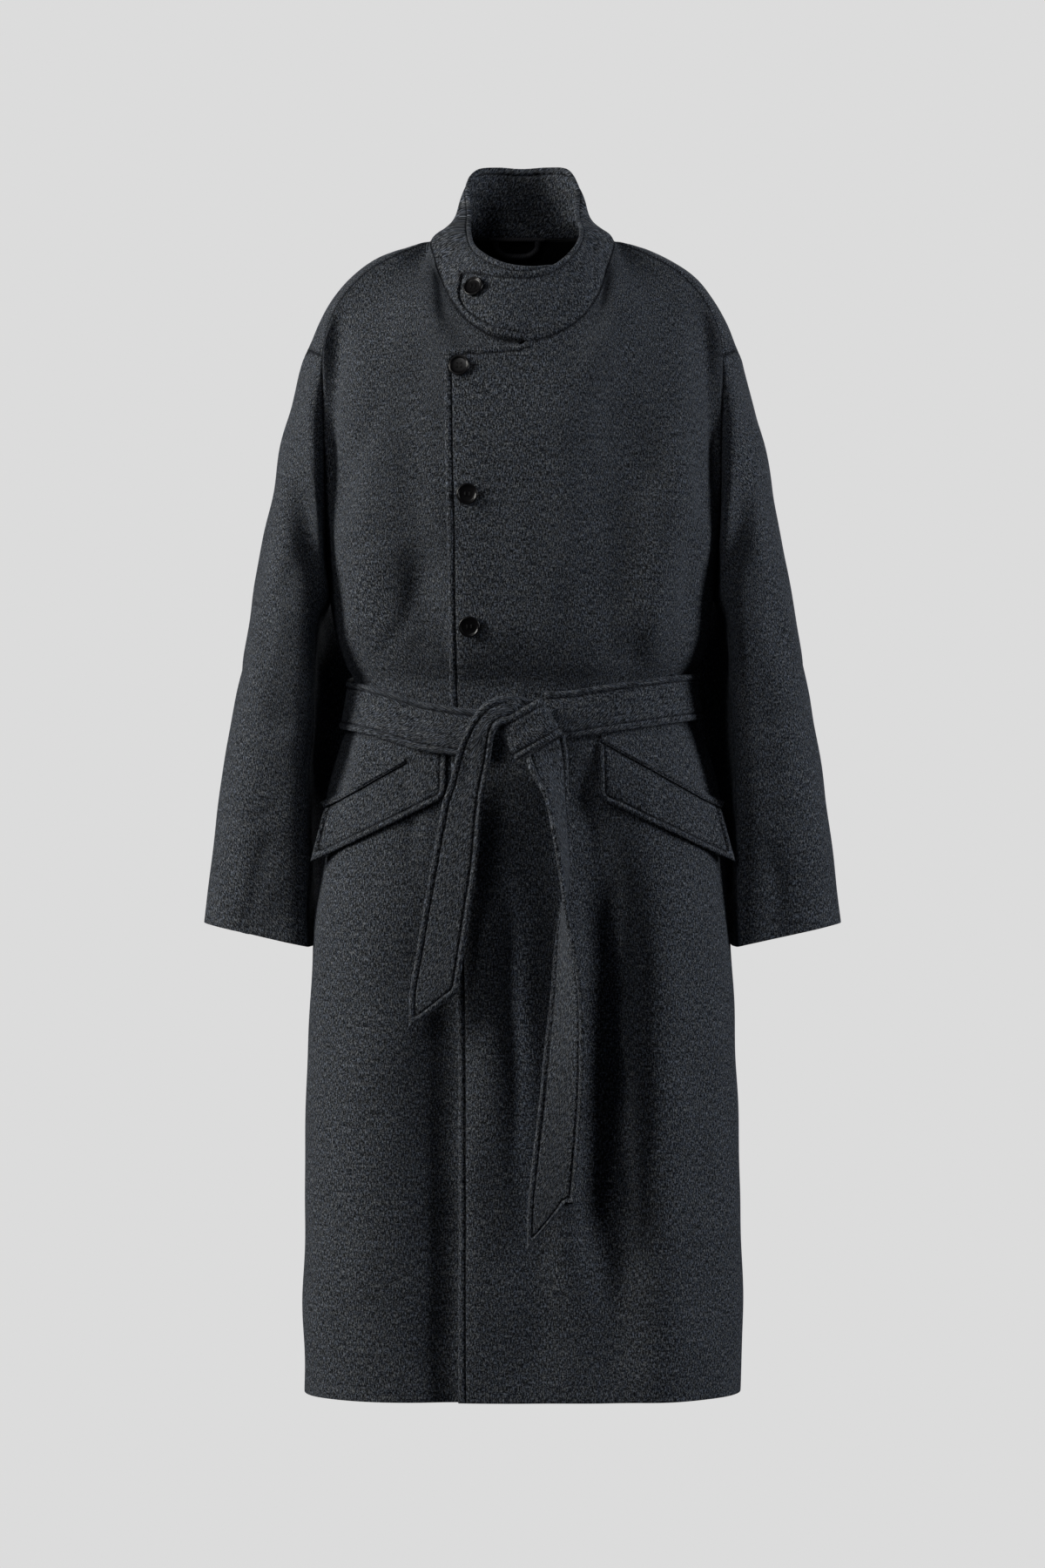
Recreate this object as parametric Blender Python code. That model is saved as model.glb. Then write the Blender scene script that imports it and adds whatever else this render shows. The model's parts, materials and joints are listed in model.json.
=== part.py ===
"""A long wool wrap coat, filled out as if worn, with a funnel collar, a lapped front and a tied belt.

Every length is in millimetres and is turned into metres where a mesh is made. The origin is the centre of
the base of the neck. +X is the wearer's left, -Y is the front and +Z is up. Cloth panels are walls made
from a grid of points on their outer face, in rows from the hem up and in columns from one side seam to the
other. Panels that share a seam share its points and its edge directions, and each is drawn back from it.
"""

import math

import bmesh
import bpy
import numpy as np
from mathutils import Matrix, Vector
from mathutils.bvhtree import BVHTree

METRES = 0.001

# ---- driving dimensions, in mm ----
CLOTH = 2.4  # the wool of the body and sleeves
COLLAR_CLOTH = 3.2  # collar, two layers
BELT_CLOTH = 4.0  # belt, two layers
FLAP_CLOTH = 2.6
WELT_CLOTH = 1.6
LINING_CLOTH = 1.2
DRAWN_BACK = 0.17  # each edge lies this far from its seam
COLLAR_DRAWN_BACK = 0.45  # the thicker collar stands a little further from its own
LAP = 4.6  # how far the upper front and the collar's tab lie out over what is below them
LAP_FADE = (6.0, 55.0)  # past the lap the upper front comes down to the seam line over this stretch
LAP_START = (8.0, 60.0)  # the lap rises from this far in front of the neck's middle, over this stretch
HEM = -1189.0
UNDERARM = -374.0
BELT_WIDTH = 49.0
BELT_CLEAR = 0.0

# The coat below the underarms: height, half width, depth in front, depth behind, squareness
SECTIONS = [
    (-1189, 225.0, 116, 117, 2.5),
    (-1143, 226.5, 117, 118, 2.5),
    (-1008, 225.0, 117, 118, 2.5),
    (-878, 222.0, 118, 118, 2.5),
    (-756, 217.5, 119, 118, 2.5),
    (-653, 210.0, 120, 117, 2.5),
    (-596, 205.0, 119, 115, 2.5),
    (-562, 200.5, 118, 113, 2.5),
    (-530, 191.0, 115, 109, 2.5),
    (-504, 181.0, 111, 105, 2.5),
    (-480, 176.0, 109, 103, 2.5),
    (-456, 174.5, 111, 105, 2.5),
    (-440, 182.0, 120, 112, 2.5),
    (-413, 191.0, 130, 119, 2.6),
    (-374, 197.0, 133, 122, 2.6),
]
# Where the front edge lies, as a share of LAP_EDGE: height, share
EDGE_SHARE = [(-1189, 0.815), (-840, 0.815), (-480, 0.90), (-374, 0.92), (-124, 0.98), (0, 0.98)]
LAP_EDGE = 81.0
LAP_COLUMNS = (-81, -63, -45, -27, -9, 9, 27, 45, 63, 81)  # shared by both fronts where they lap
NOTCH = 9.0  # the collar is sewn to a front from here outwards
FREE_TOP = (-119.0, -124.5)  # height of a front's free top edge at the notch and at its end
FREE_TOP_FRONT, FREE_TOP_ROUND = -110.6, 0.0012  # its y at the centre, and how y falls off with x squared
FREE_YOKE_FRONT, FREE_YOKE_ROUND = -119.0, 0.0009  # the same a little lower
# Columns past the lap: along the neckline to the side of the neck, and along the shoulder seam
NECK_COLUMNS = 4
SHOULDER_COLUMNS = 8
BACK_NECK_COLUMNS = 8
UPPER_ROWS = 10
NECK_COLUMN_X = (82, 92, 100)  # where the back's column from the side of the neck crosses its top guide lines

# Guide lines of the front above the underarms, from the centre to the armhole: x, y, z
CHEST = [
    (0, -133, -290), (60, -131, -290), (120, -121, -290), (165, -101, -290), (191, -78, -290), (203, -52, -290),
]
BUST = [
    (0, -127, -205), (60, -123, -205), (120, -109, -205), (165, -90, -205), (192, -72, -205), (204, -56, -205),
]
YOKE = [
    (0, -119, -160), (45, -115, -150), (81, -100, -112), (100, -76, -76), (135, -66, -84),
    (170, -60, -104), (195, -54, -136), (205, -51, -165),
]
# The neckline from the centre front round the side of the neck to the centre back: x, y, z
NECKLINE = [
    (0, -112, -117), (9, -111.5, -116), (28, -109, -111), (45, -103, -102), (60, -92, -89),
    (74, -72, -68), (84, -46, -44), (92, -20, -18), (96, 6, -1), (91.5, 28, 3), (74, 50, 7),
    (42, 66, 8), (0, 70, 8),
]
NECK_SIDE = 8  # the row of NECKLINE at the side of the neck
# The forward shoulder seam, from the neck to the armhole: x, y, z
SHOULDER_SEAM = [
    (96, 6, -1), (131, -20, -18), (155, -29, -32), (172, -34, -47), (185, -38, -63), (195, -41, -80),
    (202, -44, -99), (206, -46, -125),
]
# Guide lines of the back, from the centre to the armhole: x, y, z
BACK_LOW = [
    (0, 125, -290), (60, 125, -290), (120, 117, -290), (165, 102, -290), (190, 86, -290), (206, 62, -290),
]
BACK_MID = [
    (0, 127, -205), (60, 126, -205), (120, 118, -205), (165, 105, -205), (192, 91, -205), (214, 72, -205),
]
BACK_HIGH = [
    (0, 117, -105), (60, 113, -104), (110, 98, -104), (155, 82, -112), (192, 66, -126), (223, 44, -150),
]
BACK_TOP = [
    (0, 94, -36), (48, 86, -33), (84, 62, -24), (118, 44, -28), (155, 34, -46), (190, 26, -78), (227, 12, -122),
]
RIDGE = [
    (0, 80, -11), (45, 74, -9), (80, 53, -4.5), (100, 14, -2), (133, 7, -12), (162, 3, -27.5), (184, 1, -46),
    (199, -1, -66), (211, -4, -88), (221, -12, -117),
]

# Folds: which side, x at the top, z at the top, x below, z below, half breadth, height out, fade at each end
FOLDS = [
    ("front", -22, -545, 12, -860, 26, -9, 80),
    ("front", 58, -530, 84, -760, 27, -12, 70),
    ("front", 84, -640, 82, -1110, 27, -17, 150),
    ("front", -84, -700, -84, -1260, 32, -7, 130),
    ("front", 20, -600, 20, -1300, 105, -8, 90),
    ("front", 142, -610, 146, -1300, 44, 8, 90),
    ("front", -28, -640, -26, -960, 20, 6, 90),
    ("front", -160, -620, -165, -1300, 52, 5, 90),
    ("front", 44, -190, 54, -452, 30, -8, 80),
    ("front", -104, -310, -98, -452, 24, -6, 50),
    ("front", -158, -250, -160, -446, 22, 5, 60),
    ("front", 124, -230, 122, -442, 24, 6, 60),
    ("front", 178, -60, 190, -330, 13, -5, 60),
    ("front", -186, -70, -192, -330, 13, -5, 60),
    ("back", -58, -540, -70, -1260, 28, -12, 110),
    ("back", 46, -560, 66, -1240, 30, -11, 120),
    ("back", -138, -600, -150, -1300, 40, 7, 110),
    ("back", 134, -590, 142, -1300, 42, 7, 110),
    ("back", -4, -620, -2, -1260, 36, 7, 120),
    ("back", -84, -300, -66, -450, 24, -6, 60),
    ("back", 76, -290, 62, -450, 24, -6, 60),
    ("back", 4, -320, 2, -450, 26, -4, 60),
    ("back", 132, -300, 120, -448, 24, 5, 60),
    ("back", -136, -310, -122, -448, 22, 5, 60),
]

# Sleeve, wearer's left: inner x and z, outer x and z, y of the middle, half depth, squareness, and how far it
# reaches in behind the waist
SLEEVE = [
    (200, -378, 245, -192, 8, 78, 2.2, 10),
    (207, -392, 262, -279, 10, 90, 2.3, 24),
    (210, -420, 279, -372, 12, 92, 2.3, 40),
    (212, -462, 292, -440, 12, 85, 2.3, 58),
    (215, -520, 306, -523, 13, 78, 2.2, 50),
    (216.5, -590, 317, -596, 14, 73, 2.25, 28),
    (217.5, -665, 325.5, -660, 16, 61, 2.15, 6),
    (218, -731, 331, -707, 17, 49, 2.1, 0),
]
SLEEVE_BEHIND = math.radians(-55)  # direction in which it reaches furthest behind, from straight inwards
SLEEVE_TUCK = 6.0  # how narrowly it does so
SLEEVE_FLAT = 2.0  # how much squarer it is in front, on the side of the body
SLEEVE_SLANT = 0.2  # how far its front falls back outwards
SLEEVE_ROWS = 14
SLEEVE_SEAMS = (2, 15)  # columns of the front and back seams, counted from the underarm forwards
CAP_EASE = 15.0  # how far the cap rounds out past the armhole
CAP_LEAD = 0.38  # how far down the sleeve's first stretch that is

# Collar: stations round the neck, from the hidden end to the tab: top x, y, z
COLLAR_TOP = [
    (33, -70.5, -33), (15, -79.5, -35), (0, -84, -37), (-17, -80, -32.5), (-35.5, -69, -23.5),
    (-47.6, -53, -13),
    (-54, -24, 6), (-56, 8, 40), (-50, 38, 76), (-36, 53, 81), (0, 58, 80), (36, 53, 81), (50, 38, 76),
    (57, 8, 42), (60, -18, 21), (58.5, -38, 1), (52, -60, -15), (41, -75, -28), (29, -85, -37), (12, -92, -43),
    (-13, -94, -44), (-38, -88, -40), (-53, -80, -37.5), (-66, -69, -36),
]
# Columns of the collar's seam that stand over rows of COLLAR_TOP, counted from the hidden end
COLLAR_KEYS = [(0, 0), (2, 3), (10, 7), (14, 10), (18, 13), (26, 19), (31, 23)]
COLLAR_ROWS = 5
TAB_COLUMNS = 9  # columns of the collar that lie over its own hidden end
COLLAR_SWELL = 2.5  # how far the band rounds out between its edges
COLLAR_HIDDEN_LOW = [(33, -104.5, -107), (12, -109.5, -113)]
TAB_LOWER = [(-9, -118.5, -112.5), (-27, -116.5, -108.5), (-45, -108, -99.5), (-58, -98, -88), (-66, -86, -70)]

# Belt round the waist: x, height of the middle, in front
BELT_FRONT = [(-200, -479), (-186, -480), (-145, -489), (-100, -504), (-60, -511), (-38, -513)]
BELT_FRONT_LEFT = [(22, -495), (48, -493), (92, -485), (140, -478), (180, -472), (200, -471)]
BELT_BACK = -474.0
BELT_DEPTH = 111.0  # of the body behind the belt's two front ends
BELT_ROWS = (-1, -0.35, 0.35, 1)
BELT_RISE = (40.0, 2.0, 60.0)  # it climbs over the lap on this stretch, ends this far before it, comes down
BELT_COLUMNS = (9, 18, 11)  # in front on the wearer's right, behind, and in front on the left

# Knot: middle, half length and half depth of the turn round it, half width, and how the band slants
KNOT = (6.0, -142.2, -508.0)
KNOT_HALF = (28.0, 17.5)
KNOT_WRAP_HALF_WIDTH = 21.5
KNOT_SLANT = math.radians(30.7)
KNOT_SIDES = 24
KNOT_SQUARENESS = 2.7
KNOT_DRAWN_IN = 0.06  # how much smaller the turn is at its two edges
# The belt inside the turn and over its top: x, y, z, half breadth, half depth
KNOT_LOOP = [
    (16, -142.2, -525, 15, 9), (6, -142.2, -508, 15, 9), (-2, -143, -494, 12, 10), (-10, -144, -486, 9, 11),
    (-22, -144, -483, 8.5, 11), (-34, -143, -489, 8.5, 11), (-43, -140, -501, 9, 8), (-46.5, -138, -511, 12, 4),
]
LOOP_ROWS = 12
LOOP_SIDES = 16
LOOP_SQUARENESS = 2.5

# Hanging ends: z, x and y of the middle, turn in degrees, half width, rise from the middle to the far edge
TAIL_RIGHT = [
    (-516, -47, -138, 26, 18, 3), (-538, -50, -140, 14, 18.2, 1), (-563, -57, -140, -4, 19.5, 0),
    (-600, -62.5, -138, -13, 22, 0), (-644, -68.5, -136, -15, 24.5, 0), (-690, -76, -134, -13, 25, 0),
    (-740, -84, -133, -11, 25, 0), (-773, -89.6, -132, -10, 25, 0),
]
TAIL_RIGHT_TIP = (-114.5, -809.0)
TAIL_LEFT = [
    (-524.5, 22, -142, 24, 22, 12), (-548, 27, -145, 42, 24.5, 6), (-575, 34, -147, 62, 24.5, 2),
    (-607, 38.5, -147, 71, 24.5, 0), (-657, 43, -145, 81, 24.5, 0), (-688, 42, -142, 95, 24.5, 0),
    (-729, 42.7, -139, 113, 24.5, 0), (-773, 44, -136, 128, 24.5, 0), (-816, 43.3, -134, 141, 24.5, 0),
    (-880, 39.3, -131, 154, 24.5, 0), (-930, 34.5, -130, 164, 24.5, 0), (-993, 28.4, -129, 169, 24.5, 0),
]
TAIL_LEFT_TIP = (4.5, -1033.0)
TAIL_ROWS = 18
TAIL_CUT = 16.0  # how far the short corner of a turned end lies above its row

# Pocket flap, wearer's left: corners x, z from the inner top round
FLAP = {"inner_top": (76, -521), "outer_top": (200, -590), "outer_low": (212, -643), "inner_low": (77, -577)}
FLAP_HOLD = 186.0  # past this x the flap leaves the body's curve
FLAP_STAND = (1.2, 5.5)  # how far it stands off at the seam and at its lower edge
FLAP_TURN = 0.75  # how far it turns back with the body past there, as a share of the slope
FLAP_OUT = 0.15  # and how far it stands off there, for each mm
FLAP_BELOW_BELT = (2.5, 12.0)  # the belt holds it this far down, and further at its lower edge
FLAP_ROWS = 4
FLAP_COLUMNS = 9
WELT_STAND = 0.7
WELT_WIDTH = 6.5
WELT_GAP = 1.7  # between a welt and the flap below it
WELT_HIDDEN = 46.0  # the belt covers this much of the welt on the wearer's right

# Buttons: name, x, z
BUTTONS = [
    ("button_1", -49, -59.5), ("button_2", -63.5, -141), ("button_3", -55.4, -271.5),
    ("button_4", -53.2, -404.7),
]
SEAT = 0.35  # how far a button lies from what carries it
SEAT_SEARCH = 8.0
BUTTON_HOLES = (2.1, 0.95)  # distance of the holes from the middle each way, and their radius
BUTTON_HOLE_SIDES = 6
BUTTON_HOLE_DEPTH = 12.0
# Half section of a button from its back round the rim to its face: radius, height
BUTTON_PROFILE = [(8.2, 0), (10.3, 0.9), (10.8, 2.1), (10.3, 3.4), (9.3, 3.7), (8.4, 3.1), (7.2, 2.5)]
BUTTON_SIDES = 18
HANGER = [
    (-28, 61.7, 5), (-27, 64.7, -3), (-20, 67.2, -9), (-6, 68.2, -11), (8, 67.2, -9), (15, 64.7, -3),
    (16, 61.7, 5),
]
HANGER_RADIUS = 3.0
HANGER_ROWS = 16
HANGER_SIDES = 8
LINING_ROWS = 7
LINING_GAP = 0.5
LINING_SHORT = 1.2  # how far its top edge stops below the neck seam
# Rows of the body from the hem to the underarms: how many stretches up to each height
ROW_STRETCHES = [(8, -650.0), (4, -520.0), (6, UNDERARM)]
LOW_ROWS = 1 + sum(count for count, _ in ROW_STRETCHES)

COLOURS = {"wool": (0.045, 0.050, 0.058), "lining": (0.012, 0.012, 0.015), "button": (0.010, 0.010, 0.012)}
ROUGHNESS = {"wool": 0.9, "lining": 0.45, "button": 0.3}


# Which way a rim's squares are cut is settled by how far their corners lie along this
RIM_ORDER = Vector((0.37, 0.21, 1.0))


# ---- curves and grids ----
def unit(v):
    return v / np.maximum(np.linalg.norm(v, axis=-1, keepdims=True), 1e-9)


def smoothstep(t):
    t = np.clip(t, 0.0, 1.0)
    return t * t * (3 - 2 * t)


def curve(knots, values, at):
    """Values at places between the knots, on a smooth curve through all of them."""
    knots, values, at = (np.asarray(a, float) for a in (knots, values, at))
    step = np.diff(knots)
    wide = (slice(None),) + (None,) * (values.ndim - 1)
    slope = np.diff(values, axis=0) / step[wide]
    tangent = np.concatenate([slope[:1], slope[:1].repeat(len(knots) - 2, 0), slope[-1:]])
    share = (step[1:] / (step[1:] + step[:-1]))[wide]
    tangent[1:-1] = slope[:-1] * share + slope[1:] * (1 - share)
    i = np.clip(np.searchsorted(knots, at, side="right") - 1, 0, len(knots) - 2)
    size = step[i]
    u = (at - knots[i]) / size
    wide = (Ellipsis,) + (None,) * (values.ndim - 1)
    u, size = u[wide], size[wide]
    rise = u * u * (3 - 2 * u)
    return (
        (1 - rise) * values[i] + rise * values[i + 1]
        + size * u * (1 - u) * ((1 - u) * tangent[i] - u * tangent[i + 1])
    )


def column_of(rows, at):
    """The other columns of a table whose first column rises, at places in that first column."""
    rows = np.array(rows, float)
    return curve(rows[:, 0], rows[:, 1:], at)


def lengths(points):
    return np.concatenate([[0], np.cumsum(np.linalg.norm(np.diff(points, axis=0), axis=1))])


def rounded(points, count=240):
    """Many points on a smooth curve through a few."""
    points = np.array(points, float)
    along = lengths(points)
    return curve(along, points, np.linspace(0, along[-1], count))


def share_out(points, shares):
    """Points at shares of a line's length."""
    along = lengths(points)
    at = np.asarray(shares) * along[-1]
    return np.stack([np.interp(at, along, points[:, k]) for k in range(points.shape[1])], axis=-1)


def squared(turn, power, half=1.0, depth=1.0):
    """Distance from the middle of an oval to its rim at each angle; a higher power squares it off."""
    return (np.abs(np.cos(turn) / depth) ** power + np.abs(np.sin(turn) / half) ** power) ** (-1 / power)


def even(count):
    return np.linspace(0, 1, count + 1)


def mirrored(points):
    return points * np.array([-1.0, 1.0, 1.0])


def normals_of(grid, closed=False):
    """Directions square to a grid of points, from its rows and columns."""
    if closed:
        grid = np.concatenate([grid[:, -1:], grid, grid[:, :1]], axis=1)
    up = np.gradient(grid, axis=0)
    across = np.gradient(grid, axis=1)
    normals = unit(np.cross(across, up))
    return normals[:, 1:-1] if closed else normals


# ---- the body's form ----
def outward(points):
    """Level directions away from the body's middle, the same for every panel that passes a place."""
    flat = points * np.array([1 / 200.0**2, 1 / 125.0**2, 0.0])
    return unit(flat)


def folds(points):
    """How far the folds push each point out."""
    x, y, z = points[..., 0], points[..., 1], points[..., 2]
    total = np.zeros(x.shape)
    for side, x_top, z_top, x_low, z_low, breadth, height, fade in FOLDS:
        facing = smoothstep(-y / 60) if side == "front" else smoothstep(y / 60)
        middle = np.interp(-z, [-z_top, -z_low], [x_top, x_low])
        along = smoothstep((z_top - z) / fade) * smoothstep((z - z_low) / fade)
        total += height * facing * along * np.exp(-(((x - middle) / breadth) ** 2))
    return total


def folded(points):
    return points + outward(points) * folds(points)[..., None]


def section(z):
    return column_of(SECTIONS, z)


def edge_share(z):
    return float(np.interp(z, *np.array(EDGE_SHARE).T))


def section_point(x, z, behind=False):
    """The point of the section at height z whose x is given."""
    half, front, back, power = section(z)
    depth = back if behind else front
    reach = (1 - np.minimum(np.abs(np.asarray(x, float)) / half, 1) ** power) ** (1 / power)
    y = depth * reach * (1 if behind else -1)
    return np.stack([np.asarray(x, float), y, np.full(np.shape(x), float(z))], axis=-1)


def section_arc(x_from, z, behind=False, count=160):
    """Points of the section from x_from round to the side."""
    half, front, back, power = section(z)
    depth = back if behind else front
    y_from = abs(section_point(x_from, z, behind)[..., 1])
    angle = np.linspace(math.atan2(x_from, y_from), math.pi / 2, count)
    reach = squared(angle, power, half, depth)
    y = reach * np.cos(angle) * (1 if behind else -1)
    return np.stack([reach * np.sin(angle), y, np.full(count, float(z))], axis=-1)


def lower_heights():
    """Heights of the rows below the underarms, closer together at the waist."""
    heights = [HEM]
    for count, top in ROW_STRETCHES:
        heights.extend(np.linspace(heights[-1], top, count + 1)[1:])
    return np.array(heights)


def guide_columns(table, x_edge, past, lap_x):
    """Columns on a guide line: at the lap's own places, then evenly to the armhole."""
    table = np.array(table, float)
    rest = rounded(table)
    at_lap = column_of(table, np.abs(lap_x))
    lap = np.concatenate([np.asarray(lap_x, float)[:, None], at_lap], axis=1)
    rest = rest[rest[:, 0] > x_edge]
    start = np.concatenate([[x_edge], column_of(table, x_edge)])
    rest = share_out(np.concatenate([start[None], rest]), even(past))
    return lap, rest


def rows_through(guides, count):
    """Rows from the second guide to the last, along a smooth curve through all the guides in each column."""
    guides = np.array(guides)
    out = np.empty((count, guides.shape[1], 3))
    for k in range(guides.shape[1]):
        line = guides[:, k]
        along = np.concatenate([[0], np.cumsum(np.linalg.norm(np.diff(line, axis=0), axis=1) ** 0.8)])
        dense = curve(along, line, np.linspace(along[1], along[-1], 200))
        out[:, k] = share_out(dense, even(count))[1:]
    return out


def neckline_part(x_from, x_to_row, count):
    """Points of the neckline from a given x to a row of its table."""
    line = rounded(NECKLINE, 900)
    target = np.array(NECKLINE[x_to_row], float)
    start = int(np.argmax(line[:, 0] >= x_from))
    end = int(np.argmin(np.linalg.norm(line - target, axis=1)))
    part = line[start:end + 1]
    part[-1] = target
    return share_out(part, even(count))


def free_top_height(x):
    """Height of a front's free top edge, x counted outwards from the notch past the centre."""
    return np.interp(-x, [-NOTCH, LAP_EDGE], FREE_TOP)


def front_grid():
    """The wearer's left front: rows from the hem up, columns from its free edge to the side."""
    past = NECK_COLUMNS + SHOULDER_COLUMNS
    rows = []
    for z in lower_heights():
        share = edge_share(z)
        lap = section_point(np.array(LAP_COLUMNS) * share, z)
        rest = share_out(section_arc(LAP_EDGE * share, z), even(past))
        rows.append(np.concatenate([lap, rest[1:]]))
    guides = [rows[-2], rows[-1]]
    for table in (CHEST, BUST, YOKE):
        share = edge_share(table[0][2])
        lap, rest = guide_columns(table, LAP_EDGE * share, past, np.array(LAP_COLUMNS) * share)
        guides.append(np.concatenate([lap, rest[1:]]))
    share = edge_share(FREE_TOP[1])
    lap_x = np.array(LAP_COLUMNS) * share
    neck = rounded(NECKLINE[:NECK_SIDE + 1], 900)
    top = np.stack([lap_x, np.zeros_like(lap_x), np.zeros_like(lap_x)], axis=-1)
    sewn = lap_x > 0
    for axis in (1, 2):
        top[sewn, axis] = np.interp(lap_x[sewn], neck[:, 0], neck[:, axis])
    top[~sewn, 2] = free_top_height(lap_x[~sewn])
    top[~sewn, 1] = FREE_TOP_FRONT + FREE_TOP_ROUND * lap_x[~sewn] ** 2
    yoke = guides[-1]
    yoke[:len(lap_x)][~sewn, 1] = FREE_YOKE_FRONT + FREE_YOKE_ROUND * lap_x[~sewn] ** 2
    yoke[:len(lap_x)][~sewn, 2] = YOKE[0][2]
    collar_part = neckline_part(lap_x[-1], NECK_SIDE, NECK_COLUMNS)
    seam = share_out(rounded(SHOULDER_SEAM), even(SHOULDER_COLUMNS))
    guides.append(np.concatenate([top, collar_part[1:], seam[1:]]))
    return np.concatenate([np.array(rows), rows_through(guides, UPPER_ROWS)])


def back_grid():
    """The back: rows from the hem up, columns from the wearer's right side to the left."""
    half_neck = BACK_NECK_COLUMNS // 2
    count = half_neck + SHOULDER_COLUMNS

    def half_row(points):
        return np.concatenate([mirrored(points[::-1]), points[1:]])

    rows = []
    for z in lower_heights():
        rows.append(share_out(section_arc(1e-6, z, behind=True), even(count)))
    guides = [rows[-2], rows[-1]]
    for table in (BACK_LOW, BACK_MID, BACK_HIGH, BACK_TOP, RIDGE):
        line = rounded(table)
        guides.append(share_out(line, even(count)))
    neck = share_out(rounded(NECKLINE[NECK_SIDE:][::-1]), even(half_neck))
    seam = share_out(rounded(SHOULDER_SEAM), even(SHOULDER_COLUMNS))
    top = np.concatenate([neck, seam[1:]])
    split = half_neck
    for guide, neck_x in zip(guides[-3:], NECK_COLUMN_X):
        dense = rounded(guide)
        cut = int(np.argmax(dense[:, 0] >= neck_x))
        guide[:split + 1] = share_out(dense[:cut + 1], even(split))
        guide[split:] = share_out(dense[cut:], even(SHOULDER_COLUMNS))
    guides.append(top)
    half = np.concatenate([np.array(rows), rows_through(guides, UPPER_ROWS)])
    return np.array([half_row(row) for row in half])


def lap_height(points):
    """How far the upper front lies out at each of its points."""
    edge = LAP_EDGE * np.array([edge_share(z) for z in points[..., 2].ravel()]).reshape(points.shape[:-1])
    past = points[..., 0] - edge
    beside_neck = smoothstep((-points[..., 1] - LAP_START[0]) / LAP_START[1])
    return LAP * beside_neck * (1 - smoothstep((past - LAP_FADE[0]) / (LAP_FADE[1] - LAP_FADE[0])))


# ---- panels ----
class Panel:
    """A grid of points on the outer face of a piece of cloth, with its edge directions."""

    def __init__(self, grid, thickness, closed=False):
        self.grid = grid
        self.thickness = thickness
        self.normals = normals_of(grid, closed)

    def part(self, columns):
        """Some of the panel's columns, as a panel."""
        some = Panel(self.grid[:, columns].copy(), self.thickness)
        some.normals = self.normals[:, columns].copy()
        return some


def meet(first, at_first, inner_first, second, at_second, inner_second):
    """Gives two panels' shared seam points the same directions, apart from where they meet in a valley."""
    n1, n2 = first.normals[at_first], second.normals[at_second]
    in1 = unit(first.grid[inner_first] - first.grid[at_first])
    in2 = unit(second.grid[inner_second] - second.grid[at_second])
    rise = ((n1 * in2).sum(-1) + (n2 * in1).sum(-1)) / 2
    together = np.clip(1 - rise / 0.35, 0, 1)[..., None]
    first.normals[at_first] = unit(n1 + together * n2)
    second.normals[at_second] = unit(n2 + together * n1)


def draw_back(panel, at, inner, distance=DRAWN_BACK):
    """Moves an edge's points away from its seam."""
    panel.grid[at] += unit(panel.grid[inner] - panel.grid[at]) * distance


def wall(panel, name, slot):
    """A closed solid between a panel's outer face and its inner one."""
    return solid_between(panel.grid, panel.grid - panel.normals * panel.thickness, name, slot)


def solid_between(outer, inner, name, slot, closed=False):
    """A closed solid between two grids. Faces that lie against another piece are cut as that piece's are."""
    rows, columns = outer.shape[:2]
    mesh = bmesh.new()
    out, into = ([[mesh.verts.new(p * METRES) for p in row] for row in points] for points in (outer, inner))

    def square(a, b, c, d):
        mesh.faces.new((a, b, c))
        mesh.faces.new((a, c, d))

    def rim(a, b, inner_b, inner_a):
        if a.co.dot(RIM_ORDER) > b.co.dot(RIM_ORDER):
            square(a, b, inner_b, inner_a)
        else:
            square(b, inner_b, inner_a, a)

    last = columns if closed else columns - 1
    for r in range(rows - 1):
        for c in range(last):
            d = (c + 1) % columns
            square(out[r][c], out[r][d], out[r + 1][d], out[r + 1][c])
            square(into[r + 1][d], into[r][d], into[r][c], into[r + 1][c])
    for c in range(last):
        d = (c + 1) % columns
        rim(out[0][d], out[0][c], into[0][c], into[0][d])
        rim(out[-1][c], out[-1][d], into[-1][d], into[-1][c])
    if not closed:
        for r in range(rows - 1):
            rim(out[r][0], out[r + 1][0], into[r + 1][0], into[r][0])
            rim(out[r + 1][-1], out[r][-1], into[r][-1], into[r + 1][-1])
    return finish(mesh, name, slot)


def finish(mesh, name, slot):
    """Turns a bmesh into a named object with its material."""
    bmesh.ops.recalc_face_normals(mesh, faces=mesh.faces)
    data = bpy.data.meshes.new(name)
    mesh.to_mesh(data)
    mesh.free()
    data.shade_smooth()
    data.set_sharp_from_angle(angle=math.radians(40))
    data.materials.append(material(slot))
    made = bpy.data.objects.new(name, data)
    bpy.context.scene.collection.objects.link(made)
    return made


def material(slot):
    found = bpy.data.materials.get(slot)
    if found:
        return found
    made = bpy.data.materials.new(slot)
    made.use_nodes = True
    shader = made.node_tree.nodes["Principled BSDF"]
    shader.inputs["Base Color"].default_value = (*COLOURS[slot], 1)
    shader.inputs["Roughness"].default_value = ROUGHNESS[slot]
    shader.inputs["Metallic"].default_value = 0.0
    return made


# ---- the pieces ----
def body_panels():
    """Both fronts and the back, with their folds, and the upper front lifted where it laps."""
    base = front_grid()
    left = folded(base)
    left += normals_of(left) * lap_height(base)[..., None]
    right = folded(mirrored(base))[:, ::-1]
    back = folded(back_grid())[:, ::-1]
    return Panel(left, CLOTH), Panel(right, CLOTH), Panel(back, CLOTH)


def armhole(front, back, front_column, back_column):
    """The loop of an armhole, from the underarm up the front, over the shoulder and down the back."""
    up = front.grid[LOW_ROWS - 1:, front_column]
    down = back.grid[:LOW_ROWS - 2:-1, back_column]
    return np.concatenate([up, down[1:-1]])


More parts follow.
